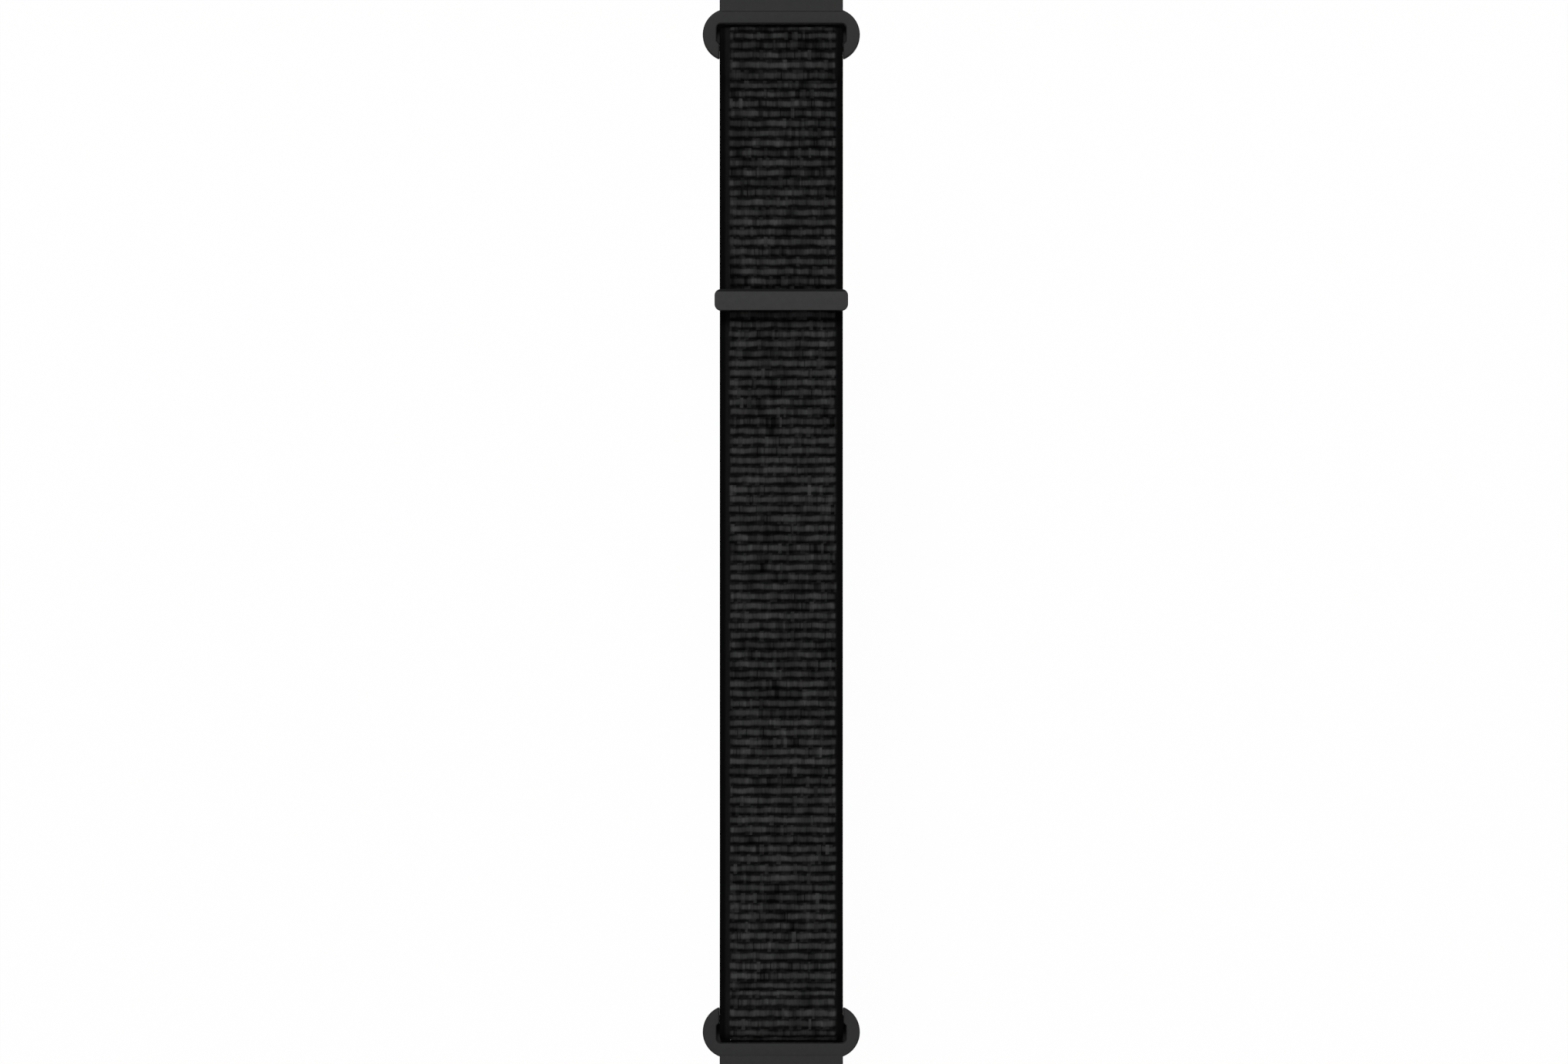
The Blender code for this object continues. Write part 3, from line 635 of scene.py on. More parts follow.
class Effects:
    """The node groups that several materials share."""

    BROAD_SCALE = 0.31
    FLECK_ONSET = (0.36, 0.66)
    MOTTLE_SCALE = 0.11
    EDGE_JITTER = (-0.02, 0.02)
    WEAR_REACH = (0.0, 0.06)

    def __init__(self) -> None:
        """Builds each group once."""
        self.yarn = self.build_yarn()
        self.grain = self.build_grain()
        self.wear = self.build_wear()

    def build_yarn(self) -> bpy.types.NodeTree:
        """Filaments that run along a yarn, with flecks where they catch the light.

        Returns:
            A group that turns a place in millimetres into a height and a fleck mask.
        """
        sizes = {"Place": None, "Across": 9.0, "Along": 1.6}
        nodes, start, end = new_group("yarn_filaments", sizes, ("Height", "Fleck"))
        apart = nodes.add("ShaderNodeSeparateXYZ", {"Vector": start.outputs["Place"]}).outputs
        across = nodes.maths("MULTIPLY", apart[0], start.outputs["Across"])
        along = nodes.maths("MULTIPLY", apart[1], start.outputs["Along"])
        place = nodes.add("ShaderNodeCombineXYZ", {"X": across, "Y": along, "Z": apart[2]}).outputs[0]
        fine = {"Vector": place, "Scale": 1.0, "Detail": 4.0, "Roughness": 0.62}
        broad = {"Vector": place, "Scale": self.BROAD_SCALE, "Detail": 2.0, "Roughness": 0.5}
        height = nodes.add("ShaderNodeTexNoise", fine).outputs[0]
        fleck = nodes.ranged(nodes.add("ShaderNodeTexNoise", broad).outputs[0], self.FLECK_ONSET)
        nodes.fill(end, {"Height": height, "Fleck": fleck})
        return nodes.tree

    def build_grain(self) -> bpy.types.NodeTree:
        """The fine pebbled grain that a mould or a blasting leaves.

        Returns:
            A group that turns a place and a scale into a height and a mottle mask.
        """
        sizes = {"Place": None, "Scale": 9000.0}
        nodes, start, end = new_group("fine_grain", sizes, ("Height", "Mottle"))
        place, scale = start.outputs["Place"], start.outputs["Scale"]
        inputs = {"Vector": place, "Scale": scale}
        cells = nodes.add("ShaderNodeTexVoronoi", inputs, feature="SMOOTH_F1").outputs[0]
        coarse = nodes.maths("MULTIPLY", scale, self.MOTTLE_SCALE)
        inputs = {"Vector": place, "Scale": coarse, "Detail": 3.0, "Roughness": 0.55}
        mottle = nodes.add("ShaderNodeTexNoise", inputs).outputs[0]
        nodes.fill(end, {"Height": nodes.maths("SUBTRACT", 1.0, cells), "Mottle": mottle})
        return nodes.tree

    def build_wear(self) -> bpy.types.NodeTree:
        """Where handling has polished the edges.

        Returns:
            A group that turns pointiness into a broken-up edge mask.
        """
        sizes = {"Place": None, "Pointiness": 0.5, "Onset": 0.56, "Breakup": 1500.0}
        nodes, start, end = new_group("edge_wear", sizes, ("Mask",))
        inputs = {"Vector": start.outputs["Place"], "Scale": start.outputs["Breakup"], "Detail": 3.0}
        noise = nodes.add("ShaderNodeTexNoise", inputs).outputs[0]
        shift = nodes.ranged(noise, NOISE_MIDDLE, self.EDGE_JITTER)
        point = nodes.maths("ADD", start.outputs["Pointiness"], shift)
        over = nodes.maths("SUBTRACT", point, start.outputs["Onset"])
        nodes.fill(end, {"Mask": nodes.ranged(over, self.WEAR_REACH)})
        return nodes.tree


def new_material(name: str) -> tuple[bpy.types.Material, Nodes, bpy.types.Node]:
    """A material with its Principled shader.

    Args:
        name: The material's name.

    Returns:
        The material, its Nodes and its shader.
    """
    made = bpy.data.materials.new(name)
    made.use_nodes = True
    return made, Nodes(made.node_tree), made.node_tree.nodes["Principled BSDF"]


def spread(middle: float, reach: float) -> Range:
    """The range that reaches equally far to both sides of a value."""
    return middle - reach, middle + reach


@dataclass(frozen=True)
class ClothFinish:
    """Black nylon webbing with yarns along the strap: greyer on its ribs, and dark in its grooves, partly
    the yarn's own colour and partly painted shade.
    """

    name: str = "black_ribbed_nylon"
    # The groove colour is partly the yarn's own and partly painted shade that deepens the grooves.
    groove: Colour = (0.0040, 0.0040, 0.0040)
    crest: Colour = (0.0300, 0.0300, 0.0301)
    roughness: Range = (0.95, 0.82)
    specular: float = 0.015
    fleck_gain: Range = (0.78, 1.14)
    tone_gain: Range = (0.15, 1.85)
    bump: Range = (0.8, 0.00003)
    width_in_mm: float = 21.5
    length_in_mm: float = 1.0

    def build(self, effects: Effects) -> bpy.types.Material:
        """Makes the material.

        Args:
            effects: The shared node groups.

        Returns:
            The material.
        """
        made, nodes, shader = new_material(self.name)
        flat = nodes.add("ShaderNodeUVMap", uv_map=Webbing.UV_MAP).outputs[0]
        place = nodes.scaled(flat, (self.width_in_mm, self.length_in_mm, 1.0))
        yarn = nodes.add("ShaderNodeGroup", {"Place": place}, node_tree=effects.yarn).outputs
        pile_and_groove_shade = nodes.add("ShaderNodeAttribute", attribute_name=Webbing.PILE_AND_SHADE).outputs["Fac"]
        tone_and_shade = nodes.add("ShaderNodeAttribute", attribute_name=Webbing.TONE_AND_SHADE).outputs["Fac"]
        # Painted shade: the pile share lays the dark groove colour into the grooves, and the crests keep
        # their fleck.
        groove_shade_mix = nodes.maths("MULTIPLY", pile_and_groove_shade, nodes.ranged(yarn["Fleck"], WHOLE, self.fleck_gain))
        base = nodes.mixed(groove_shade_mix, self.groove, self.crest)
        tint = nodes.ranged(tone_and_shade, WHOLE, self.tone_gain)
        shade = nodes.add("ShaderNodeCombineColor", {"Red": tint, "Green": tint, "Blue": tint}).outputs[0]
        looks = {
            "Base Color": nodes.mixed(1.0, base, shade, "MULTIPLY"),
            "Roughness": nodes.ranged(yarn["Fleck"], WHOLE, self.roughness),
            "Specular IOR Level": self.specular,
        }
        nodes.bump(nodes.fill(shader, looks), yarn["Height"], self.bump)
        return made


@dataclass(frozen=True)
class TapeFinish:
    """Black fibre or nylon that has a colour, a faint fleck and a fine bump: hook tape and thread."""

    name: str
    colour: Colour
    fleck: Colour
    roughness: float
    specular: float
    across: float
    along: float
    rough_spread: float = 0.08
    bump: Range = (0.7, 0.00001)

    def build(self, effects: Effects) -> bpy.types.Material:
        """Makes the material.

        Args:
            effects: The shared node groups.

        Returns:
            The material.
        """
        made, nodes, shader = new_material(self.name)
        here = nodes.add("ShaderNodeTexCoord").outputs["Object"]
        inputs = {"Place": nodes.scaled(here, (1.0 / MILLIMETRE,) * 3)}
        inputs |= {"Across": self.across, "Along": self.along}
        yarn = nodes.add("ShaderNodeGroup", inputs, node_tree=effects.yarn).outputs
        rough = spread(self.roughness, self.rough_spread)
        looks = {
            "Base Color": nodes.mixed(yarn["Fleck"], self.colour, self.fleck),
            "Roughness": nodes.ranged(yarn["Height"], NOISE_MIDDLE, rough),
            "Specular IOR Level": self.specular,
        }
        nodes.bump(nodes.fill(shader, looks), yarn["Height"], self.bump)
        return made


@dataclass(frozen=True)
class SolidFinish:
    """Moulded nylon, coated plate or steel: grained or brushed, with polished edges, and upright faces in a
    darker, painted-shade side colour.
    """

    name: str
    colour: Colour
    mottle: Colour
    side: Colour
    # The side colour is painted shade on faces that stand upright.
    edge: Colour
    roughness: float = 0.75
    edge_roughness: float = 0.65
    specular: float = 0.07
    metallic: float = 0.0
    grain_scale: float = 9000.0
    bump: Range = (0.6, 0.000006)
    stretch: Point = (1.0, 1.0, 1.0)
    blotch_onset: Range = (0.35, 0.65)
    side_shade_onset: Range = (0.78, 0.98)
    rough_spread: float = 0.05

    def build(self, effects: Effects) -> bpy.types.Material:
        """Makes the material. Faces that stand upright take the side colour, a painted shade.

        Args:
            effects: The shared node groups.

        Returns:
            The material.
        """
        made, nodes, shader = new_material(self.name)
        here = nodes.add("ShaderNodeTexCoord").outputs
        inputs = {"Place": nodes.scaled(here["Object"], self.stretch), "Scale": self.grain_scale}
        grain = nodes.add("ShaderNodeGroup", inputs, node_tree=effects.grain).outputs
        point = nodes.add("ShaderNodeNewGeometry").outputs["Pointiness"]
        inputs = {"Place": here["Object"], "Pointiness": point}
        wear = nodes.add("ShaderNodeGroup", inputs, node_tree=effects.wear).outputs["Mask"]
        # Painted shade: faces that stand upright take the side colour.
        upward = nodes.add("ShaderNodeSeparateXYZ", {"Vector": here["Normal"]}).outputs[2]
        level = nodes.ranged(nodes.maths("ABSOLUTE", upward), self.side_shade_onset)
        blotch = nodes.ranged(grain["Mottle"], self.blotch_onset)
        body = nodes.mixed(level, self.side, nodes.mixed(blotch, self.colour, self.mottle))
        rough = nodes.ranged(grain["Mottle"], NOISE_MIDDLE, spread(self.roughness, self.rough_spread))
        polish = nodes.ranged(wear, WHOLE, (0.0, self.roughness - self.edge_roughness))
        looks = {
            "Base Color": nodes.mixed(wear, body, self.edge),
            "Roughness": nodes.maths("SUBTRACT", rough, polish),
            "Metallic": self.metallic,
            "Specular IOR Level": self.specular,
        }
        nodes.bump(nodes.fill(shader, looks), grain["Height"], self.bump)
        return made


THREAD_FINISH = TapeFinish(
    "black_sewing_thread",
    colour=(0.009, 0.009, 0.009),
    fleck=(0.022, 0.022, 0.023),
    roughness=0.75,
    specular=0.15,
    across=16.0,
    along=3.0,
)
HOOK_FINISH = TapeFinish(
    "black_hook_tape",
    colour=(0.007, 0.007, 0.007),
    fleck=(0.012, 0.012, 0.012),
    roughness=0.6,
    specular=0.10,
    across=5.0,
    along=5.0,
)
MOULDING_FINISH = SolidFinish(
    "charcoal_moulded_nylon",
    colour=(0.0260, 0.0260, 0.0261),
    mottle=(0.0290, 0.0290, 0.0291),
    # Painted shade on upright faces.
    side=(0.0165, 0.0165, 0.0166),
    edge=(0.0290, 0.0290, 0.0291),
)
STOP_FINISH = SolidFinish(
    "charcoal_moulded_rubber",
    colour=(0.0342, 0.0342, 0.0343),
    mottle=(0.0388, 0.0388, 0.0389),
    # Painted shade on upright faces and slopes: the stop's rims and its sloping front.
    side=(0.0062, 0.0062, 0.0063),
    edge=(0.0388, 0.0388, 0.0389),
    grain_scale=7000.0,
)
PLATE_FINISH = SolidFinish(
    "dark_coated_plate",
    colour=(0.050, 0.050, 0.052),
    mottle=(0.064, 0.064, 0.066),
    # Painted shade on upright faces.
    side=(0.045, 0.045, 0.047),
    edge=(0.20, 0.20, 0.205),
    roughness=0.42,
    edge_roughness=0.3,
    specular=0.5,
    metallic=0.8,
    grain_scale=5200.0,
    bump=(0.6, 0.000002),
    stretch=(0.12, 1.0, 1.0),
)
STEEL_FINISH = SolidFinish(
    "stainless_steel",
    colour=(0.42, 0.42, 0.43),
    mottle=(0.50, 0.50, 0.51),
    # Faint painted shade on upright faces.
    side=(0.44, 0.44, 0.45),
    edge=(0.62, 0.62, 0.63),
    roughness=0.30,
    edge_roughness=0.2,
    specular=0.5,
    metallic=1.0,
    grain_scale=6500.0,
    bump=(0.6, 0.0000015),
    stretch=(0.1, 1.0, 1.0),
)


class Finishes:
    """Every material, by the record's slot that it dresses, and the stop's own."""

    def __init__(self) -> None:
        """Builds the shared effects and then the materials."""
        effects = Effects()
        finishes = {
            Slot.CLOTH: ClothFinish(length_in_mm=Layout().total / MILLIMETRE),
            Slot.HOOKS: HOOK_FINISH,
            Slot.THREAD: THREAD_FINISH,
            Slot.MOULDING: MOULDING_FINISH,
            Slot.PLATE: PLATE_FINISH,
            Slot.STEEL: STEEL_FINISH,
        }
        self.by_slot = {slot: finish.build(effects) for slot, finish in finishes.items()}
        self.stop = STOP_FINISH.build(effects)

    def dress(self, piece: Piece, slot: Slot) -> Piece:
        """Gives a piece the material of a slot, and logs the piece with its slot.

        Args:
            piece: The piece.
            slot: The slot.

        Returns:
            The same piece.
        """
        piece.data.materials.clear()
        piece.data.materials.append(self.by_slot[slot])
        LOG.info("%s: %d faces of %s", piece.name, len(piece.data.polygons), slot.value)
        return piece

    def dress_stop(self, piece: Piece) -> Piece:
        """Gives the stop its own, lighter moulding."""
        self.dress(piece, Slot.MOULDING).data.materials[0] = self.stop
        return piece


# The strap


class Route:
    """A line in the YZ plane, made of straight runs and round bends and read by its arc length."""

    def __init__(self, y: float, z: float, heading: float) -> None:
        """Starts the line.

        Args:
            y: The Y it starts at.
            z: The Z it starts at.
            heading: Its direction in radians, from +Y towards +Z.
        """
        self.end = np.array((y, z))
        self.heading = heading
        self.runs: list[tuple[float, float, np.ndarray, float, float]] = []
        self.length = 0.0

    def straight(self, run: float) -> Route:
        """Adds a straight run.

        Args:
            run: The length of the run.

        Returns:
            The same line.
        """
        self.runs.append((self.length, run, self.end.copy(), self.heading, 0.0))
        self.end = self.end + run * np.array((math.cos(self.heading), math.sin(self.heading)))
        self.length += run
        return self

    def bend(self, radius: float, angle: float) -> Route:
        """Adds a round bend, to the left where the angle is positive.

        Args:
            radius: The radius of the bend.
            angle: Its angle in radians.

        Returns:
            The same line.
        """
        run = radius * abs(angle)
        self.runs.append((self.length, run, self.end.copy(), self.heading, angle))
        self.length += run
        self.end = self.at(self.length)[0]
        self.heading += angle
        return self

    def shift(self, run: float, left: float) -> Route:
        """Adds two bends that move the line sideways over a run.

        Args:
            run: How far the line goes along its heading.
            left: How far it moves to the left, or to the right where this is negative.

        Returns:
            The same line.
        """
        side = abs(left)
        radius = (run * run + side * side) / (4 * side)
        angle = math.copysign(2 * math.atan2(side, run), left)
        return self.bend(radius, angle).bend(radius, -angle)

    def at(self, place: float) -> tuple[np.ndarray, np.ndarray]:
        """The point at an arc length.

        Args:
            place: The arc length.

        Returns:
            The point, and the normal to its left.
        """
        found = next((r for r in self.runs if place <= r[0] + r[1]), self.runs[-1])
        begin, run, start, heading, angle = found
        part = place - begin
        if angle == 0.0:
            along = np.array((math.cos(heading), math.sin(heading)))
            return start + part * along, np.array((-math.sin(heading), math.cos(heading)))
        radius = math.copysign(run / abs(angle), angle)
        centre = start + radius * np.array((-math.sin(heading), math.cos(heading)))
        turned = heading + angle * part / run
        normal = np.array((-math.sin(turned), math.cos(turned)))
        return centre - radius * normal, normal


@dataclass
class Layout:
    """Where the strap's cloth runs, and where its ribs and flex lines lie. The sizes repeat the CAD's."""

    flex_lines: int = 12
    ribs_per_length: int = 8
    rib_pitch: float = 0.00172
    tail_pitch: float = 0.001745
    ring_to_flex_line: float = 0.01247
    thickness: float = 0.0016
    layer_gap: float = 0.0001
    pad_thickness: float = 0.0007
    flap_margin: float = 0.00057
    fold_reach: float = 0.00165
    bar_radius: float = 0.0008
    bar_clearance: float = 0.00025
    over_bar_run: float = 0.0023
    drop_run: float = 0.0052
    peel_line: float = 0.0056
    tail_drop_run: float = 0.0052
    cut_gap: float = 0.0002
    last_flex_to_stop: float = 0.00443
    stop_length: float = 0.0045
    stop_end_wall: float = 0.0008
    stop_clearance: float = 0.0001
    flap_ribs: int = 18
    outer_ribs: int = 7
    fold_slip: float = 0.0003
    straight_ribs: int = 7
    fold_ribs: int = 5
    fold_ribs_below: int = 2
    tail_ribs: int = 25
    tip_ribs: int = 2
    last_groove: float = 0.043640

    def __post_init__(self) -> None:
        """Works out the layers, lays the route and counts its ribs."""
        self.length = self.ribs_per_length * self.rib_pitch
        self.ring = self.ring_to_flex_line + (self.flex_lines - 1) * self.length / 2
        inner = self.bar_radius + self.bar_clearance
        self.fold_radius = inner + self.thickness / 2
        self.fold_back = inner + self.thickness - self.fold_reach
        self.bar_height = self.thickness + inner
        self.low = self.thickness / 2
        self.top = self.bar_height + self.fold_radius
        self.flap = self.low + self.thickness + self.layer_gap
        self.tail = self.low + self.thickness + self.pad_thickness + 2 * self.layer_gap
        near = self.flex_line(self.flex_lines - 2) - self.last_flex_to_stop
        self.stop = (near - self.stop_length, near)
        self.route, self.marks = self.lay()
        self.total = self.route.length
        self.knots = self.count()

    def flex_line(self, number: int) -> float:
        """The Y of a flex line, from 1 at the sewn end."""
        return -self.ring + self.ring_to_flex_line + (number - 1) * self.length

    def lay(self) -> tuple[Route, dict[str, float]]:
        """Lays the whole route.

        Returns:
            The route, and the arc lengths of its marks.
        """
        marks: dict[str, float] = {}
        route = Route(-self.ring + self.ring_to_flex_line - self.flap_margin, self.low, HALF_TURN)
        route.straight(self.ring_to_flex_line - self.flap_margin - self.fold_back)
        marks["flap"] = route.length
        route.bend(self.fold_radius, -HALF_TURN)
        marks["outside"] = route.length
        route.straight(self.over_bar_run)
        route.shift(self.drop_run, self.flap - self.top)
        route.straight(self.flex_line(1) - float(route.end[0]))
        marks["first"] = route.length
        route.straight(self.cut_gap / 2)
        route.shift(self.length - self.cut_gap, self.low - self.flap)
        route.straight(self.cut_gap / 2)
        route.straight(self.flex_line(self.flex_lines) - self.flex_line(2))
        marks["last"] = route.length
        route.straight(self.ring - self.fold_back - float(route.end[0]))
        marks["fold"] = route.length
        route.bend(self.fold_radius, HALF_TURN)
        route.straight(float(route.end[0]) - (self.ring - self.peel_line))
        route.shift(self.tail_drop_run, self.top - self.tail)
        route.straight(float(route.end[0]) - self.last_groove)
        marks["groove"] = route.length
        route.straight(self.last_groove - self.stop[0] - self.stop_end_wall - self.stop_clearance)
        return route, marks

    def count(self) -> tuple[np.ndarray, np.ndarray]:
        """Counts the ribs along the route.

        Returns:
            Rib numbers and the arc lengths of the grooves before them, to read between.
        """
        first, last, groove = (self.marks[word] for word in ("first", "last", "groove"))
        outside = self.flap_ribs - self.outer_ribs
        numbers = [0.0, outside - self.fold_ribs, outside, self.flap_ribs]
        places = [0.0, self.marks["flap"] - self.fold_slip, self.marks["outside"] - self.fold_slip, first]
        main = self.flap_ribs + self.ribs_per_length * (self.flex_lines - 1)
        numbers += [self.flap_ribs + self.ribs_per_length, main]
        places += [last - (self.flex_line(self.flex_lines) - self.flex_line(2)), last]
        fold = main + self.straight_ribs
        tail = fold + self.fold_ribs
        numbers += [fold, tail, tail + self.tail_ribs, tail + self.tail_ribs + self.tip_ribs]
        places += [self.marks["fold"], groove - self.tail_ribs * self.tail_pitch, groove, self.total]
        return np.array(numbers), np.array(places)

    def place_of(self, ribs: np.ndarray) -> np.ndarray:
        """The arc lengths of rib numbers, whole or not."""
        return np.interp(ribs, *self.knots)

    @property
    def tail_rib(self) -> int:
        """The number of the tail's first rib."""
        return self.rib_of_flex_line(self.flex_lines) + self.straight_ribs + self.fold_ribs

    @property
    def fold_cut(self) -> int:
        """The number of the rib in the fold at which the tail's first piece starts."""
        return self.tail_rib - self.fold_ribs + self.fold_ribs_below

    def rib_of_flex_line(self, number: int) -> int:
        """The rib number of the groove at a main flex line."""
        return self.flap_ribs + self.ribs_per_length * (number - 1)


@dataclass(frozen=True)
class Stretch:
    """One piece of the webbing, from one rib to another, which spans one joint."""

    name: str
    ribs: tuple[int, int]
    bodies: tuple[str, str]
    nodes: tuple[str, str]
    blend: Range
    rests_on: tuple[str, ...] = ()
    held: str = "laid"


@dataclass
class Webbing:
    """The ribbed cloth: its ribs and loops as one height field, and its pieces along the route."""

    UV_MAP = "cloth"
    # The pile share: how much crest colour a point has against the dark groove colour, which is partly
    # painted shade.
    PILE_AND_SHADE = "pile_and_groove_shade"
    # The tone: random tone of loops and ribs, darker along the tail, with painted shade on the nicks, the
    # borders' outer edges, the fold and the tip.
    TONE_AND_SHADE = "tone_and_shade"

    layout: Layout
    width: float = 0.0218
    crest: float = 0.0008
    groove_depth: float = 0.00030
    border: float = 0.0005
    border_edge: float = 0.00034
    left_border: float = 0.00180
    right_border: float = 0.00130
    border_rise: float = 0.00035
    edge_rounding: float = 0.00022
    columns: int = 138
    steps_per_rib: int = 10
    loop_columns: tuple[int, ...] = (3, 4, 4, 5)
    loop_scatter: float = 0.000024
    loop_tone: float = 0.10
    loop_bridge: float = 0.30
    first_loop: int = 4
    # The nicks between loops are drawn lower, and darker with painted shade.
    nick_depth: float = 0.000035
    nick_shade: float = 0.06
    deep_nick_depth: float = 0.00012
    deep_nick_shade: float = 0.34
    deep_nick_share: float = 0.07
    rib_tone: float = 0.06
    rib_fullness: float = 1.6
    rib_margin: float = 0.000001
    loop_fullness: float = 1.4
    loop_headroom: float = 0.00002
    cloud_waves: tuple[Range, ...] = ((1.6, 0.10), (4.0, 0.10), (9.0, 0.07))
    width_waves: float = 1.3
    wobble_waves: tuple[Range, ...] = ((2.6, 1.0), (8.0, 0.7))
    wave_stretch: Range = (0.7, 1.3)
    column_wobble: float = 0.012
    end_scatter: float = 0.00009
    wobble: float = 0.05
    pile_foot: float = 0.46
    pile_crown: float = 0.93
    pile_scatter: float = 0.55
    # Painted shade: the right border's grey strip is drawn at half strength, and the borders' rounded outer
    # edges are drawn darker.
    right_strip_shade: float = 0.5
    middle_tone: float = 0.5
    border_pile: float = 0.085
    edge_shade: float = 0.28
    tail_dim: float = 0.045
    # Painted shade: the ribs of the fold inside ring A, and the last ribs at the stop's mouth, are drawn
    # darker.
    bend_shade: float = 0.22
    tip_shade: float = 0.30
    tip_height: float = 0.00062
    blend_reach: float = 0.0055
    peel_reach: float = 0.0023
    first_reach: Range = (0.0018, 0.0055)
    last_reach: Range = (0.0034, 0.0042)
    seam_middle: float = 0.0090
    seam_run: float = 0.0019
    seam_width: float = 0.0082
    seam_depth: float = 0.0004
    seam_fade: float = 0.0004
    sealed_ribs: float = 0.45
    sealed_share: float = 0.62
    end_margin: float = 0.0001
    side_share: float = 0.45
    edge_tuck: float = 0.00010
    outer_edge: float = 0.0008
    tail_cuts: tuple[int, ...] = (4, 11, 19)
    layers: int = 3
    smooth_angle: float = 70.0
    seed: int = 20

    def __post_init__(self) -> None:
        """Places the columns and draws every loop of both faces."""
        self.ribs = int(self.layout.knots[0][-1])
        self.columns_x = np.linspace(-self.width / 2, self.width / 2, self.columns + 1)
        draw = np.random.default_rng(self.seed)
        shape = (2, self.ribs, self.columns + 1)
        self.lift, self.tint, self.shift, self.spread, self.bridge = (np.zeros(shape) for _ in range(5))
        for side in range(2):
            for rib in range(self.ribs):
                self.draw_rib(draw, side, rib)
        self.ends = draw.normal(0.0, self.end_scatter, (2, self.ribs, 2))

    def draw_rib(self, draw: np.random.Generator, side: int, rib: int) -> None:
        """Draws the loops of one rib.

        Args:
            draw: The seeded source of random numbers.
            side: The face, 0 for the outer one and 1 for the inner one.
            rib: The rib's number.
        """
        count = self.columns + 1
        at = int(draw.integers(0, self.first_loop))
        rib_tone = draw.normal(0.0, self.rib_tone)
        while at < count:
            stop = min(at + int(draw.choice(self.loop_columns)), count)
            self.lift[side, rib, at:stop] += draw.normal(0.0, self.loop_scatter)
            self.tint[side, rib, at:stop] = draw.normal(0.0, self.loop_tone)
            self.bridge[side, rib, at:stop] = max(0.0, draw.normal(0.0, self.loop_bridge))
            # Each loop starts in a nick, drawn lower and darker; the darker tone is painted shade.
            deep = draw.random() < self.deep_nick_share
            self.lift[side, rib, at] -= self.deep_nick_depth if deep else self.nick_depth * draw.random()
            self.tint[side, rib, at] -= self.deep_nick_shade if deep else self.nick_shade
            at = stop
        for waves, size in self.cloud_waves:
            self.tint[side, rib] += size * self.wave(draw, waves)
            self.spread[side, rib] += size * self.wave(draw, waves * self.width_waves)
        for waves, size in self.wobble_waves:
            self.shift[side, rib] += self.wobble * size * self.wave(draw, waves)
        self.shift[side, rib] += draw.normal(0.0, self.column_wobble, count)
        self.tint[side, rib] += rib_tone

    def wave(self, draw: np.random.Generator, waves: float) -> np.ndarray:
        """A sine along a rib with a random start and about as many waves as asked for.

        Args:
            draw: The seeded source of random numbers.
            waves: The number of waves before it is varied.

        Returns:
            The sine at each column.
        """
        share = np.arange(self.columns + 1) / (self.columns + 1)
        turn = draw.uniform(0.0, FULL_TURN)
        return np.sin(turn + share * FULL_TURN * waves * draw.uniform(*self.wave_stretch))

    def field_share(self, side: int, rib: np.ndarray, across: np.ndarray) -> np.ndarray:
        """How far each point is inside the ribbed field, from 0 in a border to 1.

        Args:
            side: The face.
            rib: The points' ribs.
            across: The points' X.

        Returns:
            The shares.
        """
        low = -self.width / 2 + self.left_border + self.ends[side][rib, 0]
        high = self.width / 2 - self.right_border + self.ends[side][rib, 1]
        return eased(np.minimum(across - low, high - across) / self.border_rise + 0.5)

    def surface(self, side: int, number: np.ndarray, column: np.ndarray) -> tuple[np.ndarray, ...]:
        """The cloth's height and looks on one face.

        Args:
            side: The face, 0 for the outer one.
            number: The points' rib numbers, not whole.
            column: The points' columns.

        Returns:
            The height over the middle of the cloth, the pile share with its painted groove shade, and the
            tone with its painted shade, of each point.
        """
        rib = np.clip(np.floor(number + self.rib_margin).astype(int), 0, self.ribs - 1)
        part = np.clip(number - rib, 0.0, 1.0)
        across = self.columns_x[column]
        inward = self.width / 2 - np.abs(across)
        share = self.field_share(side, rib, across)
        moved = part + self.shift[side][rib, column] * np.sin(math.pi * part)
        round_top = np.sin(math.pi * np.clip(moved, 0.0, 1.0))
        height = self.crest - self.groove_depth * (1.0 - round_top) ** self.rib_fullness
        height += self.lift[side][rib, column] * np.clip(round_top * self.loop_fullness, 0.0, 1.0)
        height = np.minimum(height, self.crest + self.loop_headroom)
        out = np.clip(inward / self.edge_rounding, 0.0, 1.0)
        plain = self.border_edge + (self.border - self.border_edge) * np.sqrt(out * (2.0 - out))
        height = plain + (height - plain) * share
        # The pile share falls from crest to groove, so the grooves take the dark groove colour, partly
        # painted shade.
        foot = self.pile_foot - self.pile_scatter * self.spread[side][rib, column]
        pile_and_groove_shade = eased((round_top - foot) / (self.pile_crown - foot))
        pile_and_groove_shade = np.maximum(pile_and_groove_shade, self.bridge[side][rib, column])
        # Painted shade: the borders' rounded outer edges lose their grey strip and are drawn darker, and the
        # right border's strip is only half as grey.
        strip = np.clip((inward - self.outer_edge) / self.border_rise, 0.0, 1.0)
        strip = strip * np.where(across < 0.0, 1.0, self.right_strip_shade)
        pile_and_groove_shade = pile_and_groove_shade * share + (1.0 - share) * self.border_pile * strip
        tail_rib = self.layout.tail_rib
        # Painted shade on the fold inside ring A and on the last ribs at the stop's mouth.
        bend = (rib >= tail_rib - self.layout.fold_ribs) & (rib <= tail_rib)
        tip = rib >= self.ribs - self.layout.tip_ribs
        dim = self.tail_dim * (rib >= tail_rib) + self.bend_shade * bend + self.tip_shade * tip
        tone_and_shade = self.middle_tone + (self.tint[side][rib, column] - dim) * share
        tone_and_shade = np.clip(tone_and_shade - (1.0 - share) * (1.0 - strip) * self.edge_shade, 0.0, 1.0)
